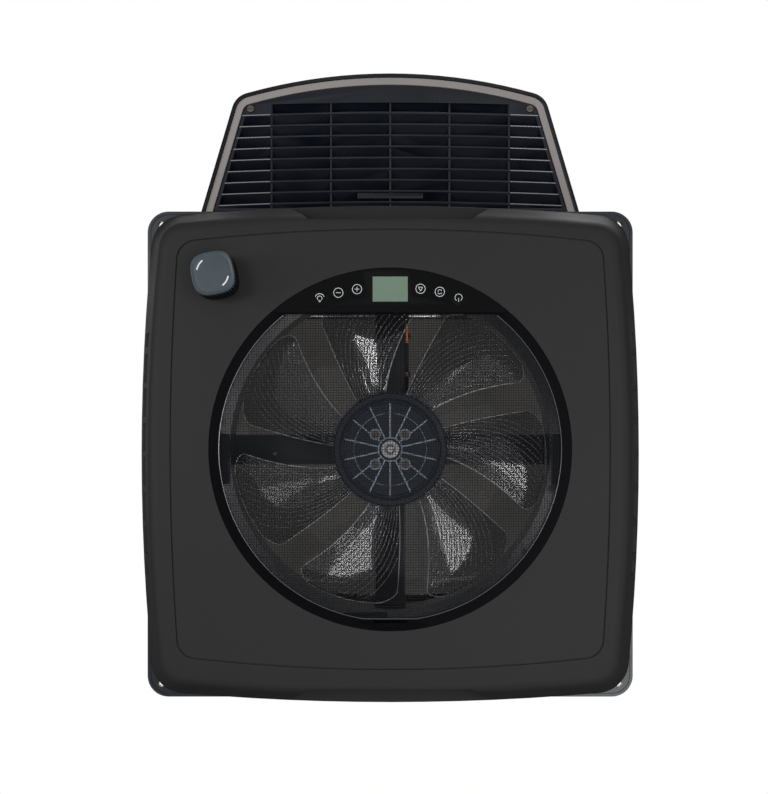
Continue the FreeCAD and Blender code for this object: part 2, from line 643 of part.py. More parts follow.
def make_lead_clips():
    clips = []
    for y in (FAN_Y + 70.0, FAN_Y + 105.0, FAN_Y + 135.0):
        strap = block(LEAD_X - 3.2, LEAD_X + 6.0, y - 2.5, y + 2.5, SPIDER_Z + SPIDER_T, LEAD_HIGH + 3.2)
        channel = block(LEAD_X - 1.7, LEAD_X + 1.7, y - 3, y + 3, SPIDER_Z, LEAD_HIGH + 1.7)
        clips.append(strap.cut(channel))
    return clips


# ---- lift mechanism ---------------------------------------------------------------------------
def arm_end(pivot_y):
    angle = math.radians(LIFT_OPEN)
    return pivot_y + LIFT_LEN * math.cos(angle), PIVOT_Z + LIFT_LEN * math.sin(angle)


def make_arm(pivot_y, base_hole_r):
    """The left arm of a pair: a bar with round ends between its two pivots."""
    bar = block(ARM_X, ARM_X + ARM_T, 0, LIFT_LEN, -ARM_W / 2, ARM_W / 2)
    ends = [rod_x(ARM_W / 2, ARM_X, ARM_X + ARM_T, y, 0) for y in (0.0, LIFT_LEN)]
    bar = fuse_all([bar] + ends)
    pocket = block(ARM_X + 2.5, ARM_X + ARM_T + 1, 12.0, LIFT_LEN - 12.0, -4.0, 4.0)
    base_hole = rod_x(base_hole_r, ARM_X - 8, ARM_X + 12, 0, 0)
    hood_hole = rod_x(PIN_R + RUN_CLEARANCE, ARM_X - 8, ARM_X + 12, LIFT_LEN, 0)
    bar = bar.cut([pocket, base_hole, hood_hole])
    bar.rotate(Vector(0, 0, 0), Vector(1, 0, 0), LIFT_OPEN)
    bar.translate(Vector(0, pivot_y, PIVOT_Z))
    return bar


def make_lift_shaft():
    return rod_x(LIFT_SHAFT_R, -ARM_X - ARM_T, ARM_X + ARM_T, REAR_PIVOT_Y, PIVOT_Z)


def make_shaft_bushes():
    bush = rod_x(6.0, CURB_HALF - CURB_T - 1.0, ARM_X - 0.2, REAR_PIVOT_Y, PIVOT_Z)
    bush = bush.cut(rod_x(LIFT_SHAFT_R + RUN_CLEARANCE, 150, 190, REAR_PIVOT_Y, PIVOT_Z))
    return [bush, mirrored(bush)]


def make_front_base_pins():
    pin = rod_x(PIN_R, CURB_HALF - CURB_T - 1.5, ARM_X + ARM_T + 0.3, FRONT_PIVOT_Y, PIVOT_Z)
    heads = [rod_x(5.0, CURB_HALF - CURB_T - 1.5, CURB_HALF - CURB_T, FRONT_PIVOT_Y, PIVOT_Z),
             rod_x(5.0, ARM_X + ARM_T + 0.2, ARM_X + ARM_T + 1.6, FRONT_PIVOT_Y, PIVOT_Z),
             rod_x(5.0, CURB_HALF, ARM_X - 0.2, FRONT_PIVOT_Y, PIVOT_Z)]
    pin = fuse_all([pin] + heads)
    return [pin, mirrored(pin)]


def make_hood_pins():
    pins = []
    for pivot_y in (REAR_PIVOT_Y, FRONT_PIVOT_Y):
        y, z = arm_end(pivot_y)
        pin = rod_x(PIN_R, ARM_X - 0.6, ARM_X + ARM_T + 8.0, y, z)
        pin = pin.fuse(rod_x(5.0, ARM_X - 1.4, ARM_X - 0.2, y, z)).removeSplitter()
        pins += [pin, mirrored(pin)]
    return pins


def make_hood_bracket(pivot_y, hood_space):
    y, z = arm_end(pivot_y)
    x0 = ARM_X + ARM_T + 0.6
    body = block(x0, HOOD_HALF, y - 12, y + 12, z - 9, z + 11).common(hood_space)
    return body.cut(rod_x(PIN_R, ARM_X, ARM_X + ARM_T + 8.0, y, z))


def make_lift_wheel():
    x0, x1 = WHEEL_X
    top = PIVOT_Z + WHEEL_R
    teeth = []
    for i in range(WHEEL_TEETH):
        tooth = block(x0, x1, REAR_PIVOT_Y - 0.55, REAR_PIVOT_Y + 0.55, top - 2.0, top)
        tooth.rotate(Vector(0, REAR_PIVOT_Y, PIVOT_Z), Vector(1, 0, 0), i * 360.0 / WHEEL_TEETH)
        teeth.append(tooth)
    body = fuse_all([rod_x(WHEEL_R - 1.4, x0, x1, REAR_PIVOT_Y, PIVOT_Z)] + teeth)
    return body.cut(rod_x(LIFT_SHAFT_R, x0 - 5, x1 + 5, REAR_PIVOT_Y, PIVOT_Z))


def make_lift_worm():
    """The worm on the knob's shaft. Its thread is drawn as plain rings."""
    solids = [disc(WORM_R - 0.9, WORM_LOW, WORM_HIGH, KNOB_X, KNOB_Y)]
    for i in range(6):
        centre = Vector(KNOB_X, KNOB_Y, WORM_LOW + 2.0 + i * 2.75)
        solids.append(Part.makeCone(WORM_R - 1.1, WORM_R, 0.8, centre))
        solids.append(Part.makeCone(WORM_R, WORM_R - 1.1, 0.8, centre + Vector(0, 0, 0.8)))
    return fuse_all(solids).cut(disc(SHAFT_R, WORM_LOW - 5, WORM_HIGH + 5, KNOB_X, KNOB_Y))


def make_gearbox():
    box = block(*BOX_X, *BOX_Y, *BOX_Z)
    inside = [(low + BOX_WALL, high - BOX_WALL) for low, high in (BOX_X, BOX_Y, BOX_Z)]
    cavity = block(*inside[0], *inside[1], *inside[2])
    leg = block(*BOX_X, BOX_Y[1] - 7.0, BOX_Y[1], SHROUD_BOTTOM + DECK_T, BOX_Z[0] + 0.5)
    box = fuse_all([box.cut(cavity), leg])
    bores = [rod_x(LIFT_SHAFT_R + RUN_CLEARANCE, BOX_X[0] - 5, BOX_X[1] + 5, REAR_PIVOT_Y, PIVOT_Z),
             disc(SHAFT_R + RUN_CLEARANCE, BOX_Z[0] - 1, BOX_Z[1] + 1, KNOB_X, KNOB_Y)]
    return box.cut(bores)


def make_knob_shaft():
    return disc(SHAFT_R, KNOB_FACE + 3.0, BOX_Z[1] - 1.0, KNOB_X, KNOB_Y)


def make_lift_knob():
    outline = bulged_wire(KNOB_HALF, KNOB_HALF, 2.4, 2.4, 6.5, BEZEL_FACE - 1.0)
    body = Part.Face(outline).extrude(Vector(0, 0, KNOB_FACE - BEZEL_FACE + 1.0))
    rim = [e for e in body.Edges if e.BoundBox.ZMax < KNOB_FACE + 0.01]
    body = body.makeFillet(1.4, rim)
    flutes = []
    for i in range(KNOB_FLUTES):
        flute = Part.makeCylinder(1.1, 16.0, Vector(19.3, 0, KNOB_FACE + 5.0))
        flute.rotate(Vector(0, 0, 0), Vector(0, 0, 1), i * 360.0 / KNOB_FLUTES)
        flutes.append(flute)
    body = body.cut(flutes)
    body = body.cut(Part.makeCylinder(15.2, 19.0, Vector(0, 0, KNOB_FACE + 3.0)))
    body = body.fuse(Part.makeCylinder(6.0, 18.5, Vector(0, 0, KNOB_FACE + 2.0))).removeSplitter()
    body = body.cut(Part.makeCylinder(SHAFT_R, 20.0, Vector(0, 0, KNOB_FACE + 3.0)))
    body.rotate(Vector(0, 0, 0), Vector(0, 0, 1), KNOB_TURN)
    body.translate(Vector(KNOB_X, KNOB_Y, 0))
    return body


# ---- hood ---------------------------------------------------------------------------------
def hood_outline(z, inset=0.0):
    """Plan of the hood: wide over the throat, narrowing to a bowed rear end."""
    rx, ry = HOOD_REAR_CORNER
    half = HOOD_HALF - inset
    front = HOOD_FRONT + inset
    right = [Vector(x, y, z) for x, y in (
        (rx - 0.9 * inset, ry - inset), (half, HOOD_SHOULDER_Y), (half, front + 12.0))]
    left = [Vector(-p.x, p.y, z) for p in reversed(right)]
    edges = [Part.Arc(left[2], Vector(0, HOOD_REAR - inset, z), right[0]).toShape(),
             Part.LineSegment(right[0], right[1]).toShape(),
             Part.LineSegment(right[1], right[2]).toShape(),
             Part.Arc(right[2], Vector(0, front, z), left[0]).toShape(),
             Part.LineSegment(left[0], left[1]).toShape(),
             Part.LineSegment(left[1], left[2]).toShape()]
    slab = Part.Face(Part.Wire(edges)).extrude(Vector(0, 0, 1))
    for y_low, y_high, radius in ((250, 400, 20.0), (150, 250, 90.0), (-200, -50, 35.0)):
        corners = [e for e in upright_edges(slab) if y_low < e.BoundBox.YMin < y_high]
        slab = slab.makeFillet(radius, corners)
    return bottom_wire(slab)


def inset_face(wire, distance):
    return Part.Face(wire) if distance == 0 else Part.Face(Part.Face(wire).makeOffset2D(-distance).Wires)


def band(wire, inset_a, inset_b, z0, z1):
    """A band that follows the hood's outline, between two insets."""
    outer = inset_face(wire, inset_a).extrude(Vector(0, 0, z1 - z0))
    inner = inset_face(wire, inset_b).extrude(Vector(0, 0, z1 - z0))
    shape = outer.cut(inner)
    shape.translate(Vector(0, 0, z0))
    return shape


def make_hood_space():
    """The hollow inside the hood's wall."""
    rising = [(z - HOOD_WALL, inset + HOOD_WALL) for z, inset in HOOD_PROFILE[1:]]
    inner = [(HOOD_BASE_Z - 1.0, HOOD_WALL)] + rising
    return Part.makeLoft([hood_outline(z, inset) for z, inset in inner], True, True)


def make_hood_shell(hood_space):
    outer = Part.makeLoft([hood_outline(z, inset) for z, inset in HOOD_PROFILE], True, True)
    return outer.cut(hood_space)


def make_hood_rim(wire):
    skirt = band(wire, 0, RIM_W, HOOD_RIM_Z, HOOD_BASE_Z)
    ledge = band(wire, RIM_W - 0.5, RIM_W + SEAL_W + 1.0, HOOD_BASE_Z - LEDGE_T, HOOD_BASE_Z)
    return skirt.fuse(ledge).removeSplitter()


def make_hood_seal(wire):
    return band(wire, RIM_W, RIM_W + SEAL_W, HOOD_RIM_Z + 1.5, HOOD_BASE_Z - LEDGE_T)


def make_slat(y_side):
    """One louvre slat, bowed towards the rear, its blade leaning forwards and up."""
    y = y_side + SLAT_BOW
    z = LOUVRE_LOW
    points = [(y, z), (y + 1.6, z), (y - 6.4, z + LOUVRE_DEEP), (y - 8.0, z + LOUVRE_DEEP)]
    face = Part.Face(Part.makePolygon([Vector(0, py, pz) for py, pz in points + points[:1]]))
    face.rotate(Vector(0, y - BOW_R, 0), Vector(0, 0, 1), -3.2)
    return face.revolve(Vector(0, y - BOW_R, 0), Vector(0, 0, 1), 6.4)


def rear_slab(y_from, z0, z1):
    return block(-HOOD_HALF - 3, HOOD_HALF + 3, y_from, HOOD_REAR + 25, z0, z1)


def louvre_plan(wire, inset, z0, z1):
    """The hood's outline at an inset, between two heights, without the part over the throat."""
    shape = inset_face(wire, inset).extrude(Vector(0, 0, z1 - z0))
    shape.translate(Vector(0, 0, z0))
    return shape


def make_louvre_panel(wire):
    low = LOUVRE_LOW
    high = low + LOUVRE_DEEP
    inset = RIM_W + SEAL_W + 1.2
    skin_top = low + 1.6
    plan = louvre_plan(wire, inset, low, high).common(rear_slab(LOUVRE_FRONT, low - 1, high + 1))
    inner = louvre_plan(wire, inset + 3.0, low - 1, high + 1).common(
        rear_slab(LOUVRE_FRONT + 2.5, low - 1, high + 1))
    frame = plan.cut(inner)
    # a solid margin behind the rearmost slat, bowed like the slats, and solid corners beside it
    margin_y = SLAT_FIRST_Y + SLAT_PITCH
    bow = disc(BOW_R, low - 1, skin_top + 1, 0.0, margin_y + SLAT_BOW - BOW_R)
    solids = [frame, plan.common(rear_slab(margin_y - 10, low, skin_top)).cut(bow)]
    for side in (-1, 1):
        x0, x1 = sorted((side * RIB_XS[-1], side * (HOOD_HALF + 3)))
        solids.append(plan.common(block(x0, x1, SLAT_FIRST_Y + 1.0, HOOD_REAR + 25, low, skin_top)))
    solids += [make_slat(SLAT_FIRST_Y - i * SLAT_PITCH).common(plan) for i in range(SLAT_COUNT)]
    # one more slat stands on the margin, so its lower edge doesn't show
    solids.append(make_slat(margin_y + 3.0).common(plan))
    solids += [block(x - 0.9, x + 0.9, LOUVRE_FRONT + 1, HOOD_REAR - 4, low + 0.8, high).common(plan)
               for x in RIB_XS]
    solids.append(block(-32.5, 32.5, 252.5, 257.5, low - 0.2, low + 3.0))
    # each screw passes through its hole and a cleared pocket in the slat above it
    x, y = LOUVRE_SCREW
    holes = [disc(r, z0, high + 1, side * x, y) for side in (-1, 1)
             for r, z0 in ((LOUVRE_SCREW_R, low - 1), (LOUVRE_SCREW_R + 1.0, skin_top))]
    return fuse_all(solids).cut(holes)


def make_louvre_screws():
    y = LOUVRE_SCREW[1]
    screws = []
    for x in (-LOUVRE_SCREW[0], LOUVRE_SCREW[0]):
        head = disc(3.4, LOUVRE_LOW - 1.6, LOUVRE_LOW, x, y)
        screw = head.fuse(disc(LOUVRE_SCREW_R, LOUVRE_LOW - 0.5, LOUVRE_LOW + 7.0, x, y)).removeSplitter()
        slot = block(x - 2.4, x + 2.4, y - 0.4, y + 0.4, LOUVRE_LOW - 2, LOUVRE_LOW - 0.9)
        screws.append(screw.cut(slot))
    return screws


# ---- write every piece --------------------------------------------------------------------
def main():
    os.makedirs("parts", exist_ok=True)
    save("base_flange", make_base())
    save("interior_bezel", make_bezel())
    save("bezel_clips", *make_bezel_clips())
    save("screen_frame", make_screen_frame())
    save("screen_mesh", make_screen_mesh())
    save("screen_latch", make_screen_latch())
    save("control_panel", make_control_panel())
    for name in KEYS:
        save("key_" + name, make_key(name))
    save("key_domes", *make_key_domes())
    save("lcd_window", make_lcd_window())
    save("lcd_module", make_lcd_module())
    save("control_board", make_control_board())
    save("control_housing", make_control_housing())
    save("power_terminal", make_power_terminal())
    save("fan_shroud", make_shroud())
    save("spider_dampers", *make_spider_dampers())
    save("motor_spider", make_spider())
    save("spider_screws", *make_spider_screws())
    save("motor_screws", *make_motor_screws())
    save("motor_base", make_motor_base())
    save("stator_core", make_stator_core())
    save("stator_windings", *make_windings())
    save("motor_bearings", *make_bearings())
    save("rotor_can", make_rotor_can())
    save("rotor_magnets", *make_magnets())
    save("motor_shaft", make_motor_shaft())
    save("fan_rotor", make_fan_rotor())
    save("hub_screws", *make_hub_screws())
    save("hub_washer", make_hub_washer())
    save("hub_nut", make_hub_nut())
    save("motor_lead", make_motor_lead())
    save("lead_clips", *make_lead_clips())
    rear_arm = make_arm(REAR_PIVOT_Y, LIFT_SHAFT_R)
    front_arm = make_arm(FRONT_PIVOT_Y, PIN_R + RUN_CLEARANCE)
    save("rear_arm_left", rear_arm)
    save("rear_arm_right", mirrored(rear_arm))
    save("front_arm_left", front_arm)
    save("front_arm_right", mirrored(front_arm))
    save("lift_shaft", make_lift_shaft())
    save("shaft_bushes", *make_shaft_bushes())
    save("front_base_pins", *make_front_base_pins())
    save("hood_pins", *make_hood_pins())
    hood_space = make_hood_space()
    brackets = [make_hood_bracket(y, hood_space) for y in (REAR_PIVOT_Y, FRONT_PIVOT_Y)]
    save("hood_brackets", *(brackets + [mirrored(b) for b in brackets]))
    save("lift_wheel", make_lift_wheel())
    save("lift_worm", make_lift_worm())
    save("lift_gearbox", make_gearbox())
    save("knob_shaft", make_knob_shaft())
    save("lift_knob", make_lift_knob())
    wire = hood_outline(0.0)
    save("hood_shell", make_hood_shell(hood_space))
    save("hood_rim", make_hood_rim(wire))
    save("hood_seal", make_hood_seal(wire))
    save("louvre_panel", make_louvre_panel(wire))
    save("louvre_screws", *make_louvre_screws())


main()
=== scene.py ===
import json
import math

import bmesh
import bpy
from mathutils import Matrix, Vector


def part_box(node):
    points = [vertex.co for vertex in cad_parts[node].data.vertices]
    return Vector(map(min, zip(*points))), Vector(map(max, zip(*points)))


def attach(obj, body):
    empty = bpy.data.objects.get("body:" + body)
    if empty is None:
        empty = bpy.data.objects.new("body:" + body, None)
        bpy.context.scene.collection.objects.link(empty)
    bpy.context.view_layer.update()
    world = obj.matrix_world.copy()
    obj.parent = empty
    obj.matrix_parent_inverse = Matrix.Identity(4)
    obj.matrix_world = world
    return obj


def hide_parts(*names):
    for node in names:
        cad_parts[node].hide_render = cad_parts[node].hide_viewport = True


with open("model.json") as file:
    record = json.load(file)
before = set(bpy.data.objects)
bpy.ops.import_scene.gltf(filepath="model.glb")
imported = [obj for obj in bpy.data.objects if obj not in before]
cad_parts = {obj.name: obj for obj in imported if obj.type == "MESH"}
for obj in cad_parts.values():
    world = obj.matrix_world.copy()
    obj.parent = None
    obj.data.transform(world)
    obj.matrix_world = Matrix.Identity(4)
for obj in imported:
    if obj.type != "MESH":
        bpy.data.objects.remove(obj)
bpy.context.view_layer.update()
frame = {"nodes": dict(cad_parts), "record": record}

MM = 0.001
NODES = frame["nodes"]
BODY_OF = {node: body for body, nodes in frame["record"]["behaviour"]["bodies"].items() for node in nodes}

# ---- places read from the frame -------------------------------------------------------------
ROTOR_LOW, ROTOR_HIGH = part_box("fan_rotor")
SCREEN_LOW, SCREEN_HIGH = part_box("screen_mesh")
SHAFT_LOW, SHAFT_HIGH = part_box("motor_shaft")
KNOB_LOW, KNOB_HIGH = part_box("lift_knob")
FAN_Y = (SHAFT_LOW.y + SHAFT_HIGH.y) / 2
KNOB_X = (KNOB_LOW.x + KNOB_HIGH.x) / 2
KNOB_Y = (KNOB_LOW.y + KNOB_HIGH.y) / 2
PANEL_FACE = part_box("control_panel")[0].z


# ---- materials ------------------------------------------------------------------------------
# Colours are linear. Noise scales are in cycles per metre, and bump depths in metres.
NOISE_MIDDLE = (0.3, 0.7)       # the range that most of a fractal noise falls in
EDGE_POINTINESS = (0.54, 0.64)  # from hardly convex to a sharp edge
WEAR_GAIN = 2.2                 # how much lighter a worn edge is than its surface
WEAR_LIFT = 0.02
BROAD_DETAIL = 5.0
FINE_DETAIL = 3.0

SMOKE_BLOTCH = 22.0
SMOKE_DETAIL = 4.0
SMOKE_TINT = 0.15               # variation of the body colour
SMOKE_BODY_ROUGH = 0.6
SMOKE_COVER_SPREAD = 0.2        # variation of the cover, as a part of it
SMOKE_WAVES = 90.0              # slow waves of a moulded face
SMOKE_WAVE_DETAIL = 2.0
SMOKE_WAVE_STRENGTH = 0.015
SMOKE_WAVE_DEPTH = 0.0003
SMOKE_IOR = 1.5


def node_of(tree, kind, **values):
    """A new node, with each value given to the input or the setting of that name."""
    node = tree.nodes.new(kind)
    for key, value in values.items():
        if key in node.inputs:
            node.inputs[key].default_value = value
        else:
            setattr(node, key, value)
    return node


def noise_value(tree, scale, detail, stretch=(1, 1, 1)):
    """Fractal noise over the object's own coordinates."""
    place = node_of(tree, "ShaderNodeTexCoord")
    mapping = node_of(tree, "ShaderNodeMapping", Scale=stretch)
    noise = node_of(tree, "ShaderNodeTexNoise", Scale=scale, Detail=detail)
    tree.links.new(place.outputs["Object"], mapping.inputs["Vector"])
    tree.links.new(mapping.outputs["Vector"], noise.inputs["Vector"])
    return noise.outputs["Fac"]


def map_range(tree, value, source, target):
    """Maps a value from one range to another, and holds it at the ends."""
    span = node_of(tree, "ShaderNodeMapRange")
    span.inputs["From Min"].default_value = source[0]
    span.inputs["From Max"].default_value = source[1]
    span.inputs["To Min"].default_value = target[0]
    span.inputs["To Max"].default_value = target[1]
    tree.links.new(value, span.inputs["Value"])
    return span.outputs["Result"]


def tinted(tree, color, value, amount):
    """The colour, a little lighter and darker where the noise says."""
    mix = node_of(tree, "ShaderNodeMix", data_type="RGBA")
    mix.inputs["A"].default_value = (*[c * (1 - amount) for c in color], 1)
    mix.inputs["B"].default_value = (*[min(1.0, c * (1 + amount)) for c in color], 1)
    tree.links.new(value, mix.inputs["Factor"])
    return mix.outputs["Result"]


def worn(tree, color_socket, wear_color, strength):
    """Lightens convex edges, where handling polishes the surface."""
    geometry = node_of(tree, "ShaderNodeNewGeometry")
    edge = map_range(tree, geometry.outputs["Pointiness"], EDGE_POINTINESS, (0.0, strength))
    mix = node_of(tree, "ShaderNodeMix", data_type="RGBA")
    mix.inputs["B"].default_value = (*wear_color, 1)
    tree.links.new(edge, mix.inputs["Factor"])
    tree.links.new(color_socket, mix.inputs["A"])
    return mix.outputs["Result"]


def bumped(tree, value, strength, depth):
    bump = node_of(tree, "ShaderNodeBump", Strength=strength, Distance=depth)
    tree.links.new(value, bump.inputs["Height"])
    return bump.outputs["Normal"]


def new_material(name):
    material = bpy.data.materials.new(name)
    material.use_nodes = True
    return material, material.node_tree, material.node_tree.nodes["Principled BSDF"]


def surface(name, color, rough, grain, bump, depth=0.0001, blotch=18.0, tint=0.12, wear=0.25,
            metallic=0.0, specular=0.5, stretch=(1, 1, 1)):
    """An opaque surface: blotchy roughness and colour, fine grain in the normal, and edge wear."""
    material, tree, shader = new_material(name)
    broad = noise_value(tree, blotch, BROAD_DETAIL)
    fine = noise_value(tree, grain, FINE_DETAIL, stretch)
    base = tinted(tree, color, broad, tint)
    if wear:
        base = worn(tree, base, [min(1.0, c * WEAR_GAIN + WEAR_LIFT) for c in color], wear)
    tree.links.new(base, shader.inputs["Base Color"])
    tree.links.new(map_range(tree, broad, NOISE_MIDDLE, rough), shader.inputs["Roughness"])
    tree.links.new(bumped(tree, fine, bump, depth), shader.inputs["Normal"])
    shader.inputs["Metallic"].default_value = metallic
    shader.inputs["Specular IOR Level"].default_value = specular
    return material


def smoked(name, tint, body, cover, rough):
    """Clear tinted plastic: see-through, with a little body colour and a polished face."""
    material, tree, shader = new_material(name)
    broad = noise_value(tree, SMOKE_BLOTCH, SMOKE_DETAIL)
    waves = bumped(tree, noise_value(tree, SMOKE_WAVES, SMOKE_WAVE_DETAIL), SMOKE_WAVE_STRENGTH,
                   SMOKE_WAVE_DEPTH)
    tree.links.new(tinted(tree, body, broad, SMOKE_TINT), shader.inputs["Base Color"])
    shader.inputs["Roughness"].default_value = SMOKE_BODY_ROUGH
    shader.inputs["Specular IOR Level"].default_value = 0.0
    clear = node_of(tree, "ShaderNodeBsdfTransparent", Color=(*tint, 1))
    fill = node_of(tree, "ShaderNodeMixShader")
    cover_range = (cover * (1 - SMOKE_COVER_SPREAD), cover * (1 + SMOKE_COVER_SPREAD))
    tree.links.new(map_range(tree, broad, NOISE_MIDDLE, cover_range), fill.inputs[0])
    tree.links.new(clear.outputs[0], fill.inputs[1])
    tree.links.new(shader.outputs[0], fill.inputs[2])
    shine = node_of(tree, "ShaderNodeBsdfGlossy", Color=(1, 1, 1, 1))
    tree.links.new(map_range(tree, broad, NOISE_MIDDLE, rough), shine.inputs["Roughness"])
    tree.links.new(waves, shine.inputs["Normal"])
    fresnel = node_of(tree, "ShaderNodeFresnel", IOR=SMOKE_IOR)
    tree.links.new(waves, fresnel.inputs["Normal"])
    mix = node_of(tree, "ShaderNodeMixShader")
    tree.links.new(fresnel.outputs[0], mix.inputs[0])
    tree.links.new(fill.outputs[0], mix.inputs[1])
    tree.links.new(shine.outputs[0], mix.inputs[2])
    tree.links.new(mix.outputs[0], tree.nodes["Material Output"].inputs["Surface"])
    return material


MATERIALS = {
    # bezel, flange and screen
    "base": surface("slate_abs", (0.008, 0.010, 0.014), rough=(0.25, 0.35), grain=1800.0, bump=0.1,
                    wear=0.5, specular=0.3),
    "bezel": surface("grained_charcoal", (0.0145, 0.0153, 0.0145), rough=(0.6, 0.7), grain=2600.0,
                     bump=0.45, depth=0.00016, specular=0.1),
    "spring_steel": surface("spring_steel", (0.42, 0.42, 0.43), rough=(0.28, 0.4), grain=900.0,
                            bump=0.1, metallic=1.0, stretch=(8, 1, 1)),
    "screen_black": surface("gloss_frame", (0.0008, 0.0008, 0.0015), rough=(0.4, 0.5), grain=700.0,
                            bump=0.04, wear=0.1, specular=0.02),
    # Painted highlight: a lighter grey for the bright line that light draws along the screen frame's inner
    # edge.
    "frame_highlight_line": surface("frame_painted_highlight", (0.05, 0.05, 0.055), rough=(0.15, 0.25), grain=900.0,
                         bump=0.05, specular=0.6),
    "mesh": surface("coated_wire", (0.005, 0.005, 0.006), rough=(0.4, 0.55), grain=4000.0, bump=0.2,
                    wear=0, specular=0.06),
    # panel
    "panel_gloss": surface("gloss_fascia", (0.0018, 0.0018, 0.002), rough=(0.06, 0.1), grain=500.0,
                           bump=0.02, wear=0.1, specular=0.1),
    "key_gloss": surface("gloss_key", (0.002, 0.002, 0.0023), rough=(0.08, 0.13), grain=500.0,
                         bump=0.02, wear=0.1, specular=0.1),
    "lcd": surface("display", (0.099, 0.143, 0.111), rough=(0.25, 0.32), grain=3200.0, bump=0.03,
                   blotch=60.0, tint=0.06, wear=0, specular=0.2),
    "board": surface("solder_mask", (0.012, 0.09, 0.035), rough=(0.3, 0.45), grain=1500.0, bump=0.15),
    "print": surface("pale_print", (0.42, 0.45, 0.46), rough=(0.5, 0.6), grain=3000.0, bump=0.1, wear=0),
    # mouldings and metal
    "black_plastic": surface("black_nylon", (0.012, 0.013, 0.015), rough=(0.22, 0.32), grain=2200.0,
                             bump=0.08),
    "spider": surface("slate_nylon", (0.006, 0.008, 0.012), rough=(0.3, 0.42), grain=2200.0, bump=0.1,
                      specular=0.25),
    "motor_metal": surface("cast_alloy", (0.5, 0.51, 0.53), rough=(0.35, 0.5), grain=1500.0, bump=0.25,
                           metallic=1.0),
    "steel": surface("bright_steel", (0.5, 0.5, 0.51), rough=(0.22, 0.36), grain=1200.0, bump=0.1,
                     metallic=1.0, stretch=(1, 6, 1)),
    "bronze": surface("bronzed_steel", (0.075, 0.068, 0.06), rough=(0.25, 0.4), grain=1200.0, bump=0.2,
                      wear=0.8, metallic=0.7),
    "lamination": surface("laminated_steel", (0.16, 0.16, 0.17), rough=(0.4, 0.5), grain=2000.0,
                          bump=0.35, metallic=0.9, stretch=(0.05, 0.05, 1)),
    "copper": surface("enamelled_copper", (0.6, 0.26, 0.09), rough=(0.25, 0.35), grain=1600.0, bump=0.6,
                      depth=0.0003, metallic=0.9, stretch=(0.1, 0.1, 1)),
    "magnet": surface("coated_ferrite", (0.04, 0.04, 0.045), rough=(0.5, 0.65), grain=1400.0, bump=0.3),
    "lead_orange": surface("orange_lead", (0.62, 0.16, 0.02), rough=(0.4, 0.5), grain=1500.0, bump=0.1),
    "rubber": surface("black_rubber", (0.012, 0.012, 0.012), rough=(0.65, 0.8), grain=1500.0, bump=0.25,
                      specular=0.2),
    # rotor
    "smoke_blade": smoked("smoke_blade", tint=(0.85, 0.85, 0.86), body=(0.03, 0.03, 0.032), cover=0.08,
                          rough=(0.05, 0.09)),
    # Painted highlight: the ribs have a lighter, less clear body than the blades, for the light that they
    # catch.
    "blade_rib_highlight": smoked("smoke_rib_painted_highlight", tint=(0.90, 0.90, 0.91), body=(0.16, 0.16, 0.17), cover=0.40,
                        rough=(0.06, 0.12)),
    # Painted highlight: a light grey for the blades' edges, where light catches the dark smoke blades.
    "blade_edge_highlight": surface("blade_edge_painted_highlight", (0.24, 0.24, 0.25), rough=(0.12, 0.2), grain=900.0,
                          bump=0.05, specular=0.8),
    "hub_smoke": surface("smoke_hub", (0.007, 0.010, 0.017), rough=(0.12, 0.2), grain=900.0, bump=0.05),
    # Painted highlight: the hub's ribs, boss rings and hoops are a lighter blue-grey than the hub for the
    # light that catches them.
    "hub_rib_highlight": surface("hub_rib_painted_highlight", (0.12, 0.145, 0.18), rough=(0.12, 0.2), grain=900.0, bump=0.05,
                       specular=1.0),
    # knob
    "knob_face": surface("slate_cap", (0.034, 0.044, 0.053), rough=(0.3, 0.42), grain=1600.0, bump=0.1,
                         blotch=70.0, tint=0.3, specular=0.15),
    "knob_skirt": surface("knob_skirt", (0.004, 0.004, 0.005), rough=(0.35, 0.5), grain=1600.0,
                          bump=0.1, specular=0.25),
    # hood
    "hood_smoke": smoked("smoke_hood", tint=(0.275, 0.27, 0.262), body=(0.055, 0.052, 0.050),
                         cover=0.25, rough=(0.05, 0.09)),
    "hood_black": surface("gloss_rim", (0.003, 0.0035, 0.006), rough=(0.15, 0.25), grain=900.0,
                          bump=0.05, specular=0.2),
    "seal": surface("foam_seal", (0.19, 0.174, 0.168), rough=(0.7, 0.85), grain=1100.0, bump=0.5,
                    depth=0.0003, wear=0),
    "louvre": surface("louvre_black", (0.0035, 0.0045, 0.008), rough=(0.25, 0.35), grain=1500.0,
                      bump=0.08, specular=0.15),
    # Painted highlight: a light grey for the slats' lower edges, which catch the lamps at the outer
    # columns.
    "slat_edge_highlight": surface("slat_lip_painted_highlight", (0.20, 0.20, 0.21), rough=(0.2, 0.3), grain=1500.0, bump=0.08, wear=0,
                   specular=0.6),
}


# ---- mesh helpers ---------------------------------------------------------------------------
WELD = 2e-6              # vertices nearer than this are one
FLAT_ANGLE = 0.4         # degrees within which neighbouring facets are one flat
SHARP_ANGLE = 32.0       # degrees above which an edge is shaded sharp
BEVEL_ANGLE = 38.0       # degrees above which an edge is rounded
BEVEL_SEGMENTS = 2


def make_piece(name, mesh, material, body, replaces=(), sharp_angle=SHARP_ANGLE):
    piece = bpy.data.objects.new(name, mesh)
    bpy.context.scene.collection.objects.link(piece)
    mesh.materials.clear()
    mesh.materials.append(MATERIALS[material])
    mesh.shade_smooth()
    mesh.set_sharp_from_angle(angle=math.radians(sharp_angle))
    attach(piece, body)
    if replaces:
        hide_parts(*replaces)
    return piece


def mesh_of(name, verts, faces):
    mesh = bpy.data.meshes.new(name)
    mesh.from_pydata([tuple(v) for v in verts], [], faces)
    mesh.validate()
    return mesh


def weld(bm):
    bmesh.ops.remove_doubles(bm, verts=bm.verts, dist=WELD)
    bmesh.ops.recalc_face_normals(bm, faces=bm.faces)


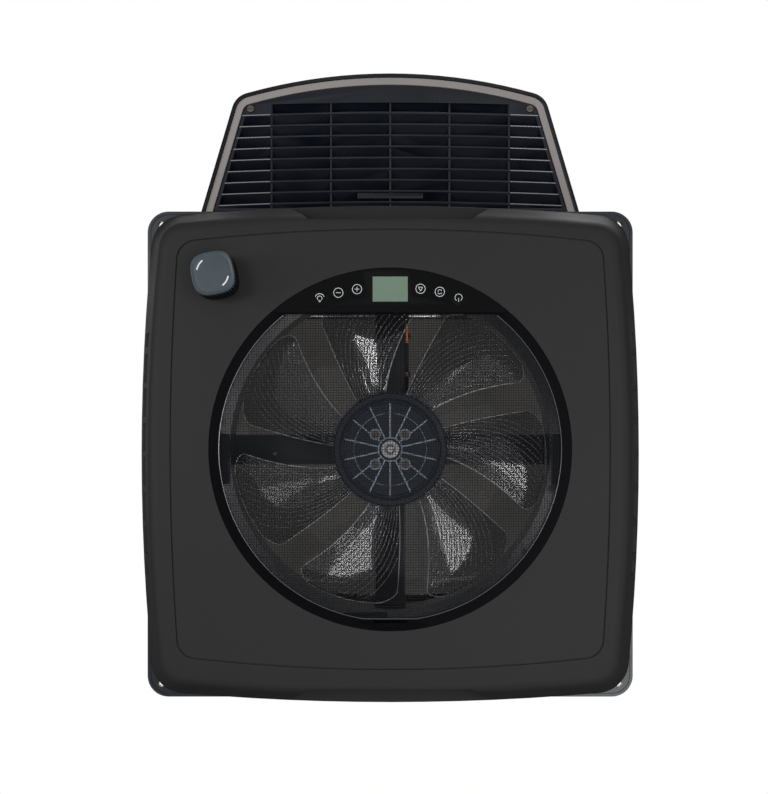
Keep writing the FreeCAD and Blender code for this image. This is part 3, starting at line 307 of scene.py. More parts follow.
def welded_mesh(name, parts):
    """One mesh from (verts, faces) pairs, with shared vertices and outward normals."""
    mesh = mesh_of(name, *join(parts))
    bm = bmesh.new()
    bm.from_mesh(mesh)
    weld(bm)
    bm.to_mesh(mesh)
    bm.free()
    return mesh


def slot_of(node):
    return next(s["material_slot"] for s in frame["record"]["subparts"] if s["node"] == node)


def refined(node, bevel_mm, material=None):
    """A copy of a CAD node with welded vertices, merged flats and real rounded edges."""
    mesh = NODES[node].data.copy()
    bm = bmesh.new()
    bm.from_mesh(mesh)
    weld(bm)
    bmesh.ops.dissolve_limit(bm, angle_limit=math.radians(FLAT_ANGLE), verts=bm.verts, edges=bm.edges)
    bm.to_mesh(mesh)
    bm.free()
    slot = slot_of(node)
    piece = make_piece(node + "_finish", mesh, material or slot, BODY_OF[node], (node,))
    if bevel_mm:
        bevel = piece.modifiers.new("edges", "BEVEL")
        bevel.width = bevel_mm * MM
        bevel.segments = BEVEL_SEGMENTS
        bevel.limit_method = "ANGLE"
        bevel.angle_limit = math.radians(BEVEL_ANGLE)
        bevel.use_clamp_overlap = True
        bevel.harden_normals = True


def join(parts):
    """Joins (verts, faces) pairs into one."""
    verts, faces = [], []
    for part_verts, part_faces in parts:
        start = len(verts)
        verts += list(part_verts)
        faces += [tuple(start + i for i in face) for face in part_faces]
    return verts, faces


def lathe(profile, centre, turns):
    """Rings about an upright axis through centre. The profile is closed."""
    verts, faces = [], []
    count = len(profile)
    for i in range(turns):
        a = 2 * math.pi * i / turns
        verts += [(centre[0] + r * math.cos(a), centre[1] + r * math.sin(a), z) for r, z in profile]
    for i in range(turns):
        j = (i + 1) % turns
        for k in range(count):
            m = (k + 1) % count
            faces.append((i * count + k, j * count + k, j * count + m, i * count + m))
    return verts, faces


def bar(low, high):
    """A rectangular bar between two opposite corners."""
    x0, y0, z0 = low
    x1, y1, z1 = high
    verts = [(x0, y0, z0), (x1, y0, z0), (x1, y1, z0), (x0, y1, z0),
             (x0, y0, z1), (x1, y0, z1), (x1, y1, z1), (x0, y1, z1)]
    return verts, [(0, 3, 2, 1), (4, 5, 6, 7), (0, 1, 5, 4), (1, 2, 6, 5), (2, 3, 7, 6), (3, 0, 4, 7)]


def tube(points, radius, sides=8):
    """A round bead along a line of points, closed at both ends."""
    verts, faces = [], []
    spine = [Vector(p) for p in points]
    for i, place in enumerate(spine):
        along = (spine[min(i + 1, len(spine) - 1)] - spine[max(i - 1, 0)]).normalized()
        side = along.cross(Vector((0, 0, 1))).normalized()
        up = side.cross(along)
        for k in range(sides):
            a = 2 * math.pi * k / sides
            verts.append(place + (side * math.cos(a) + up * math.sin(a)) * radius)
    for i in range(len(spine) - 1):
        for k in range(sides):
            m = (k + 1) % sides
            faces.append((i * sides + k, i * sides + m, (i + 1) * sides + m, (i + 1) * sides + k))
    faces.append(tuple(range(sides - 1, -1, -1)))
    last = (len(spine) - 1) * sides
    faces.append(tuple(last + k for k in range(sides)))
    return verts, faces


def arc_strip(centre, r_in, r_out, start, sweep, z, thick, steps):
    """A thin raised arc, printed proud of a face that looks down. Angles are in degrees."""
    verts, faces = [], []
    for i in range(steps + 1):
        a = math.radians(start) + math.radians(sweep) * i / steps
        for r in (r_in, r_out):
            for h in (z, z + thick):
                verts.append((centre[0] + r * math.cos(a), centre[1] + r * math.sin(a), h))
    for i in range(steps):
        a = i * 4
        b = a + 4
        faces += [(a, a + 2, b + 2, b), (a + 1, b + 1, b + 3, a + 3),
                  (a, b, b + 1, a + 1), (a + 2, a + 3, b + 3, b + 2)]
    end = steps * 4
    faces += [(0, 1, 3, 2), (end, end + 2, end + 3, end + 1)]
    return verts, faces


def line_strip(start, end, width, z, thick):
    """A straight printed stroke between two points."""
    a = Vector((*start, 0))
    b = Vector((*end, 0))
    side = Vector((-(b - a).y, (b - a).x, 0)).normalized() * width / 2
    low = [a - side, b - side, b + side, a + side]
    verts = [(p.x, p.y, z) for p in low] + [(p.x, p.y, z + thick) for p in low]
    return verts, [(0, 1, 2, 3), (7, 6, 5, 4), (0, 4, 5, 1), (1, 5, 6, 2), (2, 6, 7, 3), (3, 7, 4, 0)]


def spun(part, angle):
    """The part turned about the fan's axis."""
    turn = Matrix.Rotation(angle, 4, "Z")
    middle = Vector((0.0, FAN_Y, 0.0))
    return [tuple(turn @ (Vector(v) - middle) + middle) for v in part[0]], part[1]


def around(part, count, start=0.0):
    """Equally spaced copies of the part about the fan's axis."""
    return [spun(part, start + 2 * math.pi * i / count) for i in range(count)]


# ---- insect screen --------------------------------------------------------------------------
WEAVE_PITCH = 2.1 * MM
STRAND_HALF = 0.19 * MM
STRAND_GAP = 0.01 * MM       # between the middle of the screen and each layer of strands
SCREEN_MARGIN = 0.2 * MM


def make_screen():
    """Square woven screen: every strand is its own bar, the lengthwise ones above the crosswise."""
    radius = SCREEN_HIGH.x - SCREEN_MARGIN
    z_mid = (SCREEN_LOW.z + SCREEN_HIGH.z) / 2
    parts = []
    count = int(radius / WEAVE_PITCH)
    for i in range(-count, count + 1):
        at = i * WEAVE_PITCH
        reach = math.sqrt(max(radius ** 2 - at ** 2, 0.0))
        y = FAN_Y + at
        if SCREEN_LOW.y < y < SCREEN_HIGH.y and reach > WEAVE_PITCH:
            parts.append(bar((-reach, y - STRAND_HALF, z_mid - STRAND_HALF),
                             (reach, y + STRAND_HALF, z_mid - STRAND_GAP)))
        low = max(FAN_Y - reach, SCREEN_LOW.y)
        high = min(FAN_Y + reach, SCREEN_HIGH.y)
        if high - low > WEAVE_PITCH:
            parts.append(bar((at - STRAND_HALF, low, z_mid + STRAND_GAP),
                             (at + STRAND_HALF, high, z_mid + STRAND_HALF)))
    mesh = mesh_of("woven_screen", *join(parts))
    make_piece("woven_screen", mesh, "mesh", "root", ("screen_mesh",))


# ---- rotor blades ---------------------------------------------------------------------------
BLADES = 7
TIP_R = 140.0 * MM
HUB_R = 50.0 * MM
ROOT_SINK = 0.4 * MM          # the blades' roots run this far into the hub
BLADE_PHASE = 133.5           # degrees, the middle of the first blade's tip
SWEEP = 12.0                  # degrees by which the root trails the tip
SWEEP_POWER = 1.2
HALF_CHORD = 15.0             # degrees, half the blade's chord at its root
HALF_CHORD_GAIN = 5.5         # degrees more at its tip
CORNER_START = 0.86           # where the rounded tip starts, as a part of the blade's length
CORNER_NARROWING = 0.32
CORNER_POWER = 2.6
PITCH_ROOT = 38.0             # degrees
PITCH_LOSS = 21.0             # degrees less at the tip
RISE_LIMIT = 13.5 * MM
BLADE_FLATTEN = 0.62          # part of the pitch's rise that is kept
BLADE_CAMBER = 4.5 * MM
BLADE_Z = 33.0 * MM
BLADE_HALF_THICK = 0.95 * MM
EDGE_THINNING = 0.75
EDGE_POWER = 5
TIP_THINNING = 0.5
TIP_POWER = 3
BLADE_STEPS_U = 40
BLADE_STEPS_V = 64
BEAD_R = 0.5 * MM
BLADE_SHARP_ANGLE = 60

FLOW_RIBS = 13
FLOW_RIB_FIRST = -1.15        # where the first rib would leave the hub, across the chord
FLOW_RIB_SPREAD = 1.80        # from the first rib to the last
FLOW_RIB_DRIFT = 0.80         # how far a rib moves across the chord by the tip
FLOW_RIB_POWER = 2.2
FLOW_RIB_START = 0.02
FLOW_RIB_LENGTH = 0.94
FLOW_RIB_EDGE = 0.95          # ribs stop this far across the chord
FLOW_RIB_STEPS = 40
FLOW_RIB_SIDES = 6


def blade_point(u, v, side):
    """A point of the first blade: u runs from the hub to the tip and v across the chord."""
    r = HUB_R - ROOT_SINK + u * (TIP_R - HUB_R)
    corner = max(0.0, u - CORNER_START) / (1.0 - CORNER_START)
    half_chord = math.radians(HALF_CHORD + HALF_CHORD_GAIN * u)
    width = half_chord * (1.0 - CORNER_NARROWING * corner ** CORNER_POWER)
    middle = math.radians(BLADE_PHASE - SWEEP * (1.0 - u) ** SWEEP_POWER)
    angle = middle + v * width
    rise = min(math.tan(math.radians(PITCH_ROOT - PITCH_LOSS * u)) * width * r, RISE_LIMIT)
    z = BLADE_Z - BLADE_CAMBER * (1 - v * v) - v * rise * BLADE_FLATTEN
    thick = BLADE_HALF_THICK * (1.0 - EDGE_THINNING * abs(v) ** EDGE_POWER)
    thick *= 1.0 - TIP_THINNING * corner ** TIP_POWER
    return (r * math.cos(angle), FAN_Y + r * math.sin(angle), z + side * thick)


def blade_mesh():
    """The first blade: a lower and an upper face, joined along its four edges."""
    verts, faces = [], []
    row = BLADE_STEPS_V + 1
    for side in (-1, 1):
        for i in range(BLADE_STEPS_U + 1):
            for j in range(row):
                verts.append(blade_point(i / BLADE_STEPS_U, -1 + 2 * j / BLADE_STEPS_V, side))
    layer = (BLADE_STEPS_U + 1) * row
    for i in range(BLADE_STEPS_U):
        for j in range(BLADE_STEPS_V):
            a = i * row + j
            faces.append((a, a + 1, a + row + 1, a + row))
            b = a + layer
            faces.append((b, b + row, b + row + 1, b + 1))
    for i in range(BLADE_STEPS_U):
        for j in (0, BLADE_STEPS_V):
            a = i * row + j
            faces.append((a, a + row, a + row + layer, a + layer))
    for j in range(BLADE_STEPS_V):
        for i in (0, BLADE_STEPS_U):
            a = i * row + j
            faces.append((a, a + 1, a + 1 + layer, a + layer))
    return verts, faces


def blade_outline():
    """Up one side of the first blade, round its tip and back down the other."""
    steps = [i / BLADE_STEPS_U for i in range(BLADE_STEPS_U + 1)]
    rising = [blade_point(u, -1.0, 0) for u in steps]
    across = [blade_point(1.0, -1 + 2 * t, 0) for t in steps[1:-1]]
    falling = [blade_point(u, 1.0, 0) for u in reversed(steps)]
    return rising + across + falling


def flow_rib(k):
    """One of the fine raised lines that follow the air across a blade's lower face."""
    home = FLOW_RIB_FIRST + FLOW_RIB_SPREAD * k / (FLOW_RIBS - 1)
    points = []
    for i in range(FLOW_RIB_STEPS + 1):
        u = FLOW_RIB_START + FLOW_RIB_LENGTH * i / FLOW_RIB_STEPS
        v = home + FLOW_RIB_DRIFT * u ** FLOW_RIB_POWER
        if abs(v) < FLOW_RIB_EDGE:
            points.append(blade_point(u, v, -1))
    return tube(points, BEAD_R, FLOW_RIB_SIDES)


def rotor_piece(name, parts, material, sharp_angle=SHARP_ANGLE):
    """One piece of the rotor. Together they stand for the CAD rotor."""
    make_piece(name, welded_mesh(name, parts), material, "fan", ("fan_rotor",), sharp_angle)


def make_blades():
    rotor_piece("rotor_blades", around(blade_mesh(), BLADES), "smoke_blade", BLADE_SHARP_ANGLE)
    # The bead round each blade is lighter than the blade as a painted highlight of its edge.
    bead = tube(blade_outline(), BEAD_R)
    rotor_piece("blade_edge_highlights", around(bead, BLADES), "blade_edge_highlight", BLADE_SHARP_ANGLE)
    # The flow ribs are real beads, made lighter than the blade as a painted highlight.
    ribs = join([flow_rib(k) for k in range(FLOW_RIBS)])
    rotor_piece("blade_ribs_with_highlight", around(ribs, BLADES), "blade_rib_highlight", BLADE_SHARP_ANGLE)


# ---- rotor hub ------------------------------------------------------------------------------
# Sections are (radius, height) in mm. Heights are above the hub's lower face, but for the rim,
# whose heights are below its top.
HUB_FACE_Z = ROTOR_LOW.z + 1.5 * MM
HUB_TOP_Z = ROTOR_HIGH.z
HUB_FACE_SECTION = ((3.1, 0.0), (40.0, 0.0), (40.8, -0.9), (43.6, -0.9), (44.4, 0.0), (48.4, 0.2),
                    (49.6, 1.4), (50.0, 4.0))
HUB_RIM_SECTION = ((50.0, 1.0), (49.5, 0.0), (48.0, 0.0), (47.5, 1.0))
HUB_INSIDE_SECTION = ((47.5, 4.5), (45.5, 2.5), (3.1, 2.5))
HUB_SHARP_ANGLE = 40
HUB_TURNS = 128

HUB_RIBS = 14
HUB_RIB_SPAN = (9.5 * MM, 41.5 * MM)
HUB_RIB_PROUD = 0.2 * MM
HUB_RIB_R = 0.75 * MM
HUB_RIB_SIDES = 12

BOSSES = 4
BOSS_AT_R = 18.4 * MM
BOSS_SECTION = ((3.6, -0.35), (4.8, -0.35), (5.2, 0.4), (3.6, 0.4))
BOSS_TURNS = 32

HOOPS = ((9.5 * MM, 1.4 * MM), (31.2 * MM, 0.8 * MM), (41.8 * MM, 1.5 * MM))   # inner radius and width
HOOP_SECTION = ((0.0, -0.5), (0.3, -0.9), (0.7, -0.9), (1.0, -0.5), (1.0, 0.4), (0.0, 0.4))
HOOP_TURNS = 96

HUB_TEETH = 72
TOOTH_SPAN = (46.8 * MM, 51.2 * MM)
TOOTH_HALF = 0.6 * MM
TOOTH_HEIGHTS = (0.4 * MM, 6.0 * MM)


def above_face(section):
    return [(r * MM, HUB_FACE_Z + height * MM) for r, height in section]


def hub_cup():
    rim = [(r * MM, HUB_TOP_Z - depth * MM) for r, depth in HUB_RIM_SECTION]
    section = above_face(HUB_FACE_SECTION) + rim + above_face(HUB_INSIDE_SECTION)
    return lathe(section, (0.0, FAN_Y), HUB_TURNS)


def hub_ribs():
    z = HUB_FACE_Z - HUB_RIB_PROUD
    rib = tube([(r, FAN_Y, z) for r in HUB_RIB_SPAN], HUB_RIB_R, HUB_RIB_SIDES)
    return around(rib, HUB_RIBS, math.pi / 2)


def hub_bosses():
    """A ring round each of the hub's screws."""
    section = above_face(BOSS_SECTION)
    parts = []
    for i in range(BOSSES):
        a = math.pi / 4 + i * 2 * math.pi / BOSSES
        centre = (BOSS_AT_R * math.cos(a), FAN_Y + BOSS_AT_R * math.sin(a))
        parts.append(lathe(section, centre, BOSS_TURNS))
    return parts


def hub_hoops():
    """Raised rings round the hub's face. The section's radii are parts of the ring's width."""
    parts = []
    for inner, width in HOOPS:
        section = [(inner + part * width, HUB_FACE_Z + height * MM) for part, height in HOOP_SECTION]
        parts.append(lathe(section, (0.0, FAN_Y), HOOP_TURNS))
    return parts


def hub_teeth():
    tooth = bar((TOOTH_SPAN[0], FAN_Y - TOOTH_HALF, HUB_FACE_Z + TOOTH_HEIGHTS[0]),
                (TOOTH_SPAN[1], FAN_Y + TOOTH_HALF, HUB_FACE_Z + TOOTH_HEIGHTS[1]))
    return around(tooth, HUB_TEETH)


def make_hub():
    rotor_piece("rotor_hub", [hub_cup()], "hub_smoke", HUB_SHARP_ANGLE)
    # The ribs, boss rings and hoops are lighter than the hub as a painted highlight.
    rotor_piece("hub_ribs", hub_ribs() + hub_bosses() + hub_hoops(), "hub_rib_highlight")
    rotor_piece("hub_teeth", hub_teeth(), "hub_smoke")


# ---- knob -----------------------------------------------------------------------------------
KNOB_HALF = 17.3 * MM
KNOB_TURN = math.radians(-11.3)
KNOB_POINTS = 512
KNOB_SQUARENESS = 3.0         # power of the squared circle: 2 is round
KNOB_SHARP_ANGLE = 50
GRIP_DEPTH = 1.1 * MM
GRIP_RIDGES = 44
KNOB_TOP = KNOB_LOW.z         # the knob's face looks down
KNOB_BASE = KNOB_HIGH.z
SKIRT_BEVEL = (1.0 * MM, 3.0 * MM)        # inset, and distance behind the face
SKIRT_GRIP = (KNOB_TOP + 3.4 * MM, KNOB_BASE - 1.2 * MM)
SKIRT_FOOT_INSET = 0.6 * MM
SKIRT_FOOT = (KNOB_BASE - 0.6 * MM, KNOB_BASE)
CAP_SECTION = ((1.1, 3.1), (0.4, 2.5), (0.3, 1.6), (0.5, 0.5), (0.9, 0.05), (1.3, 0.0), (1.8, 0.35),
               (2.4, 0.6), (3.4, 0.5), (6.0, 0.55))   # inset and distance behind the face, in mm

PRINT_SWEEP = 40              # degrees
PRINT_STARTS = (11, -169)
PRINT_RADII = (12.0 * MM, 13.2 * MM)
PRINT_DEPTH = 0.42 * MM
PRINT_THICK = 0.12 * MM
PRINT_STEPS = 24


def squircle(half, ripple=0.0):
    """The knob's outline, half wide each way, with grip ridges if ripple says."""
    power = KNOB_SQUARENESS
    points = []
    for i in range(KNOB_POINTS):
        a = 2 * math.pi * i / KNOB_POINTS
        r = half / (abs(math.cos(a)) ** power + abs(math.sin(a)) ** power) ** (1 / power)
        r -= ripple * (0.5 + 0.5 * math.cos(GRIP_RIDGES * a))
        points.append((r * math.cos(a + KNOB_TURN), r * math.sin(a + KNOB_TURN)))
    return points


def stack(sections):
    """Closed solid through equal-count loops of (points, z), capped at both ends."""
    verts, faces = [], []
    count = len(sections[0][0])
    for points, z in sections:
        verts += [(KNOB_X + x, KNOB_Y + y, z) for x, y in points]
    for s in range(len(sections) - 1):
        for i in range(count):
            j = (i + 1) % count
            faces.append((s * count + i, s * count + j, (s + 1) * count + j, (s + 1) * count + i))
    faces.append(tuple(range(count - 1, -1, -1)))
    last = (len(sections) - 1) * count
    faces.append(tuple(last + i for i in range(count)))
    return verts, faces


def knob_piece(name, parts, material, sharp_angle=SHARP_ANGLE):
    make_piece(name, welded_mesh(name, parts), material, "knob", ("lift_knob",), sharp_angle)


def make_knob():
    inset, behind = SKIRT_BEVEL
    skirt = [(squircle(KNOB_HALF - inset), KNOB_TOP + behind)]
    skirt += [(squircle(KNOB_HALF, GRIP_DEPTH), z) for z in SKIRT_GRIP]
    skirt += [(squircle(KNOB_HALF - SKIRT_FOOT_INSET), z) for z in SKIRT_FOOT]
    knob_piece("knob_skirt", [stack(skirt)], "knob_skirt", KNOB_SHARP_ANGLE)
    cap = [(squircle(KNOB_HALF - inset * MM), KNOB_TOP + behind * MM) for inset, behind in CAP_SECTION]
    knob_piece("knob_cap", [stack(cap)], "knob_face", KNOB_SHARP_ANGLE)
    arcs = []
    for start in PRINT_STARTS:
        arcs.append(arc_strip((KNOB_X, KNOB_Y), *PRINT_RADII, start, PRINT_SWEEP, KNOB_TOP + PRINT_DEPTH,
                              PRINT_THICK, PRINT_STEPS))
    knob_piece("knob_print", arcs, "print")


# ---- key symbols ----------------------------------------------------------------------------
SYMBOL_WIDTH = 0.42 * MM
SYMBOL_PROUD = 0.05 * MM
SYMBOL_THICK = 0.06 * MM
SYMBOL_STEPS = 36

# An arc is (radius in mm, start, sweep) in degrees, and a stroke is (x0, y0, x1, y1) in mm.
CIRCLE = (3.8, 0, 359.9)
SYMBOLS = {
    "light": ((1.9, -40, 260), (-1.0, -1.9, 1.0, -1.9), (-0.7, -2.8, 0.7, -2.8), (3.8, 20, 140)),
    "minus": (CIRCLE, (-1.9, 0, 1.9, 0)),
    "plus": (CIRCLE, (-1.9, 0, 1.9, 0), (0, -1.9, 0, -0.3), (0, 0.3, 0, 1.9)),
    "mode": (CIRCLE, (-1.7, 1.2, 0, -1.9), (0, -1.9, 1.7, 1.2), (-1.5, 1.3, 1.5, 1.3)),
    "reverse": (CIRCLE, (1.7, 30, 120), (1.7, 210, 120), (1.4, 0.2, 1.4, 1.4), (-1.4, -0.2, -1.4, -1.4)),
    "power": ((2.9, -55, 290), (0, -3.4, 0, -0.4)),
}


def symbol_part(centre, z, part):
    """One arc or stroke of a key's symbol."""
    if len(part) == len(CIRCLE):
        radius, start, sweep = part
        r_in = radius * MM - SYMBOL_WIDTH / 2
        r_out = radius * MM + SYMBOL_WIDTH / 2
        return arc_strip(centre, r_in, r_out, start, sweep, z, SYMBOL_THICK, SYMBOL_STEPS)
    x0, y0, x1, y1 = [value * MM for value in part]
    start = (centre[0] + x0, centre[1] + y0)
    end = (centre[0] + x1, centre[1] + y1)
    return line_strip(start, end, SYMBOL_WIDTH, z, SYMBOL_THICK)


def make_symbols():
    """Each key's symbol, which rides on its key."""
    z = PANEL_FACE - SYMBOL_PROUD
    for name, parts in SYMBOLS.items():
        low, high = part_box("key_" + name)
        centre = ((low.x + high.x) / 2, (low.y + high.y) / 2)
        mesh = welded_mesh("symbol_" + name, [symbol_part(centre, z, part) for part in parts])
        make_piece("symbol_" + name, mesh, "print", "key_" + name)


# ---- small extras ---------------------------------------------------------------------------
FRAME_EDGE_R = 139.6 * MM
FRAME_EDGE_RISE = 0.15 * MM     # above the frame's lower face
FRAME_EDGE_BEAD = 0.3 * MM
FRAME_EDGE_FLAT = -138.0 * MM   # the short flat at the front, from the fan's axis
FRAME_EDGE_CHORD = 110.6 * MM   # where the panel cuts the ring off
FRAME_EDGE_STEPS = 240

SLEEVE_SPANS = ((50.0, 68.0), (72.0, 99.0), (117.0, 132.5), (137.5, 148.0))   # mm from the fan's axis
SLEEVE_R = 1.95 * MM
SLEEVE_SIDES = 20
LEAD_R = 1.6 * MM

SLATS = 9
SLAT_FIRST_Y = 332.6            # mm, the rear slat at its ends
SLAT_PITCH = 11.02
SLAT_FIRST_HALF = 146.3         # mm, half the rear slat's length
SLAT_SPLAY = 0.262              # what each mm to the front adds to it
SLAT_INNER_X = 118.6            # mm, where the outer columns start
SLAT_BOW = 3.5                  # mm, the slats' bow
SLAT_BOW_HALF = 165.0           # mm, half the width over which they bow
SLAT_LIP_SHIFT = 0.8            # mm to the rear
SLAT_LIP_R = 0.42 * MM
SLAT_LIP_RISE = 0.2 * MM
SLAT_LIP_STEPS = 8


def make_frame_edge_highlight():
    """A fine glossy bead round the screen's opening, lighter than the black frame as a painted highlight of
    the frame's inner edge, straight at its front flat, and left off under the panel."""
    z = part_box("screen_frame")[0].z + FRAME_EDGE_RISE
    start = math.asin(FRAME_EDGE_FLAT / FRAME_EDGE_R)
    sweep = math.pi - 2 * start
    points = []
    for i in range(FRAME_EDGE_STEPS + 1):
        a = start + sweep * i / FRAME_EDGE_STEPS
        x, y = FRAME_EDGE_R * math.cos(a), FRAME_EDGE_R * math.sin(a)
        if y < FRAME_EDGE_CHORD:
            points.append((x, FAN_Y + y, z))
    right = [p for p in points if p[0] > 0]
    left = [p for p in points if p[0] <= 0]
    parts = [tube(line, FRAME_EDGE_BEAD) for line in (right, left, [left[-1], right[0]])]
    mesh = welded_mesh("frame_edge_highlight", parts)
    make_piece("frame_edge_highlight", mesh, "frame_highlight_line", "root", ("screen_frame",))


def make_lead_sleeve():
    """Black sleeving over the motor lead, bare for a short way between two clips."""
    low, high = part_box("motor_lead")
    x = (low.x + high.x) / 2
    z = high.z - LEAD_R
    parts = []
    for start, end in SLEEVE_SPANS:
        line = [(x, FAN_Y + start * MM, z), (x, FAN_Y + end * MM, z)]
        parts.append(tube(line, SLEEVE_R, SLEEVE_SIDES))
    make_piece("lead_sleeve", welded_mesh("lead_sleeve", parts), "rubber", "root")


def make_slat_lip_highlights():
    """Painted highlights: glossy light strips along the slats' lower edges, seen at the outer columns, for
    the light that those edges catch.
    """
    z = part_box("louvre_panel")[0].z + SLAT_LIP_RISE
    bow_r = SLAT_BOW_HALF ** 2 / (2 * SLAT_BOW)
    parts = []
    for i in range(SLATS):
        forward = i * SLAT_PITCH
        half = SLAT_FIRST_HALF + forward * SLAT_SPLAY
        for side in (-1, 1):
            points = []
            for k in range(SLAT_LIP_STEPS + 1):
                x = SLAT_INNER_X + (half - SLAT_INNER_X) * k / SLAT_LIP_STEPS
                bow = SLAT_BOW - x * x / (2 * bow_r)
                y = SLAT_FIRST_Y - forward + SLAT_LIP_SHIFT + bow
                points.append((side * x * MM, y * MM, z))
            parts.append(tube(points, SLAT_LIP_R))
    make_piece("slat_lip_highlights", welded_mesh("slat_lip_highlights", parts), "slat_edge_highlight", "hood", ("louvre_panel",))


# ---- carried-over CAD pieces, refined -------------------------------------------------------
# How far each piece's edges are rounded, in mm. The screen frame keeps its own edges, because the
# latch slides in it with little room.
BEVELS = {
    "base_flange": 0.5, "interior_bezel": 0.25, "bezel_clips": 0.15,
    "screen_frame": 0.0, "screen_latch": 0.3,
    "control_panel": 0.15,
    "key_light": 0.08, "key_minus": 0.08, "key_plus": 0.08,
    "key_mode": 0.08, "key_reverse": 0.08, "key_power": 0.08,
    "key_domes": 0.2, "lcd_window": 0.12, "lcd_module": 0.2,
    "control_board": 0.1, "control_housing": 0.3, "power_terminal": 0.3,
    "fan_shroud": 0.5, "spider_dampers": 0.4, "motor_spider": 0.6, "spider_screws": 0.3,
    "motor_screws": 0.25, "motor_base": 0.4, "stator_core": 0.15, "stator_windings": 1.0,
    "motor_bearings": 0.3, "rotor_can": 0.5, "rotor_magnets": 0.3, "motor_shaft": 0.3,
    "hub_screws": 0.3, "hub_washer": 0.15, "hub_nut": 0.3,
    "motor_lead": 0.0, "lead_clips": 0.2,
    "rear_arm_left": 0.4, "rear_arm_right": 0.4, "front_arm_left": 0.4, "front_arm_right": 0.4,
    "lift_shaft": 0.3, "shaft_bushes": 0.2, "front_base_pins": 0.2, "hood_pins": 0.2,
    "hood_brackets": 0.5, "lift_wheel": 0.12, "lift_worm": 0.1, "lift_gearbox": 0.6, "knob_shaft": 0.3,
    "hood_shell": 0.3, "hood_rim": 0.5, "hood_seal": 0.6, "louvre_panel": 0.25, "louvre_screws": 0.3,
}

# Pieces whose finish differs from the one that their slot names.
OTHER_MATERIALS = {
    "hub_screws": "bronze", "hub_nut": "bronze", "louvre_screws": "bronze", "motor_spider": "spider",
}


def make_refined():
    for node, bevel_mm in BEVELS.items():
        refined(node, bevel_mm, OTHER_MATERIALS.get(node))


# ---- stage, lights and camera ---------------------------------------------------------------
WORLD_LIGHT = 0.10        # strength of the surroundings as a light; the camera sees them white
FLOOR_HALF = 9.0
FLOOR_Z = -1.3
FLOOR_COLOR = (0.62, 0.62, 0.62)

# Level softboxes below the model that shine up: name, (x, y), size and radiance.
SOFTBOX_Z = -0.9
SOFTBOXES = (
    ("soft_left", (0.63, 0.20), (0.44, 0.28), 12.0),
    ("soft_right", (-0.58, 0.03), (0.54, 0.50), 6.8),
    ("soft_front", (-0.30, -0.46), (0.60, 0.32), 6.8),
    ("soft_front_left", (0.2, -0.50), (0.22, 0.3), 2.0),
    ("soft_rear", (-0.05, 0.66), (0.55, 0.24), 2.5),
)
SOFTBOX_TILT = 1e-4       # a hair off straight up, so that a box's turn about its beam stays defined

# A square one at the side, aimed at the fan.
SIDE_BOX_PLACE = (1.1, 0.12, -0.55)
SIDE_BOX_SIZE = (0.36, 0.36)
SIDE_BOX_RADIANCE = 14.0

# Large ones above, aimed at the hood: name, place, size and power.
HOOD_MIDDLE = (0.0, 0.1, 0.1)
TOP_BOXES = (
    ("soft_top", (0.3, 0.9, 3.0), (4.0, 4.0), 125.0),
    ("soft_back", (-0.6, 1.9, 1.0), (1.6, 1.2), 22.0),
)

CAMERA_Z = -0.710
CAMERA_LENS = 37.45
CAMERA_SENSOR = 36.0
CAMERA_SHIFT = (-0.0078, 0.066)
CAMERA_CLIP = 0.01


def make_stage():
    h = FLOOR_HALF
    mesh = mesh_of("studio_floor", [(-h, -h, FLOOR_Z), (h, -h, FLOOR_Z), (h, h, FLOOR_Z), (-h, h, FLOOR_Z)],
                   [(0, 1, 2, 3)])
    floor = bpy.data.objects.new("studio_floor", mesh)
    bpy.context.scene.collection.objects.link(floor)
    mesh.materials.append(surface("pale_floor", FLOOR_COLOR, rough=(0.6, 0.75), grain=40.0, bump=0.02,
                                  tint=0.02, wear=0))


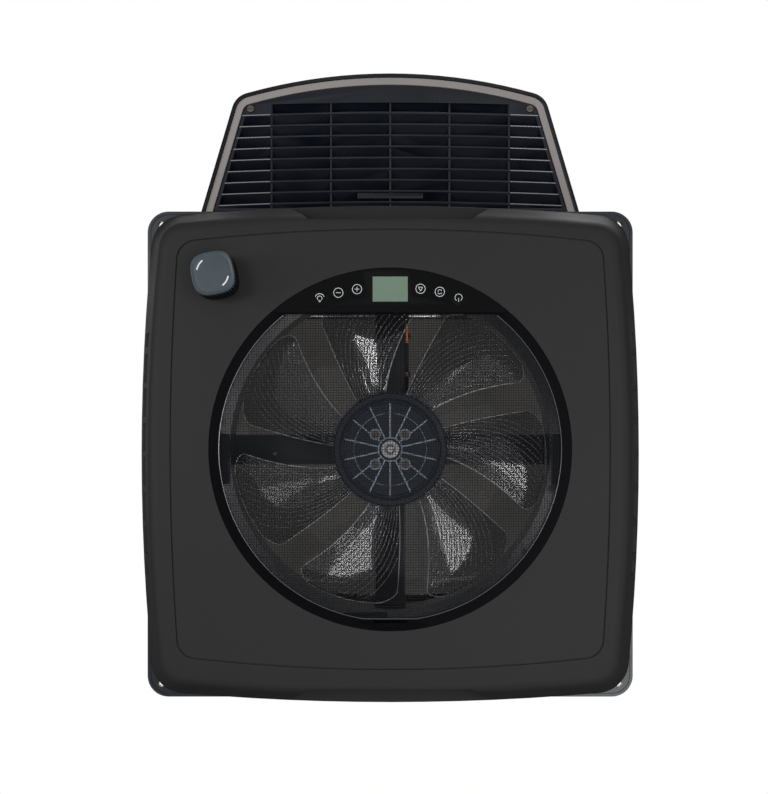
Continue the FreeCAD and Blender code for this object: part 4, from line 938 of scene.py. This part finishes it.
def area_light(name, place, target, size, power):
    light = bpy.data.lights.new(name, "AREA")
    light.shape = "RECTANGLE"
    light.size, light.size_y = size
    light.energy = power
    lamp = bpy.data.objects.new(name, light)
    bpy.context.scene.collection.objects.link(lamp)
    lamp.location = place
    lamp.rotation_euler = (Vector(target) - Vector(place)).to_track_quat("-Z", "Y").to_euler()
    lamp.visible_camera = False


def box_power(size, radiance):
    """The power that gives a box of this size its radiance."""
    return radiance * math.pi * size[0] * size[1]


def make_lights():
    for name, (x, y), size, radiance in SOFTBOXES:
        area_light(name, (x, y, SOFTBOX_Z), (x, y + SOFTBOX_TILT, 0.0), size, box_power(size, radiance))
    area_light("side_left", SIDE_BOX_PLACE, (0.0, FAN_Y, 0.0), SIDE_BOX_SIZE,
               box_power(SIDE_BOX_SIZE, SIDE_BOX_RADIANCE))
    for name, place, size, power in TOP_BOXES:
        area_light(name, place, HOOD_MIDDLE, size, power)


def make_world():
    """White to the camera, and a weak even light to everything else."""
    world = bpy.data.worlds.new("studio")
    world.use_nodes = True
    bpy.context.scene.world = world
    tree = world.node_tree
    sky = tree.nodes["Background"]
    rays = tree.nodes.new("ShaderNodeLightPath")
    level = tree.nodes.new("ShaderNodeMapRange")
    level.inputs["To Min"].default_value = WORLD_LIGHT
    level.inputs["To Max"].default_value = 1.0
    tree.links.new(rays.outputs["Is Camera Ray"], level.inputs["Value"])
    tree.links.new(level.outputs["Result"], sky.inputs["Strength"])
    sky.inputs["Color"].default_value = (1.0, 1.0, 1.0, 1.0)


def make_camera():
    """Straight below the fan's axis, looking up, with the hood's overhang towards the top."""
    data = bpy.data.cameras.new("camera")
    camera = bpy.data.objects.new("camera", data)
    bpy.context.scene.collection.objects.link(camera)
    camera.location = (0.0, FAN_Y, CAMERA_Z)
    camera.rotation_euler = (0.0, math.pi, 0.0)
    data.sensor_width = CAMERA_SENSOR
    data.lens = CAMERA_LENS
    data.shift_x, data.shift_y = CAMERA_SHIFT
    data.clip_start = CAMERA_CLIP
    bpy.context.scene.camera = camera


def main():
    make_camera()
    make_stage()
    make_lights()
    make_world()
    make_screen()
    make_blades()
    make_hub()
    make_knob()
    make_symbols()
    make_frame_edge_highlight()
    make_lead_sleeve()
    make_slat_lip_highlights()
    make_refined()
    bpy.context.scene.view_settings.view_transform = "Standard"


main()
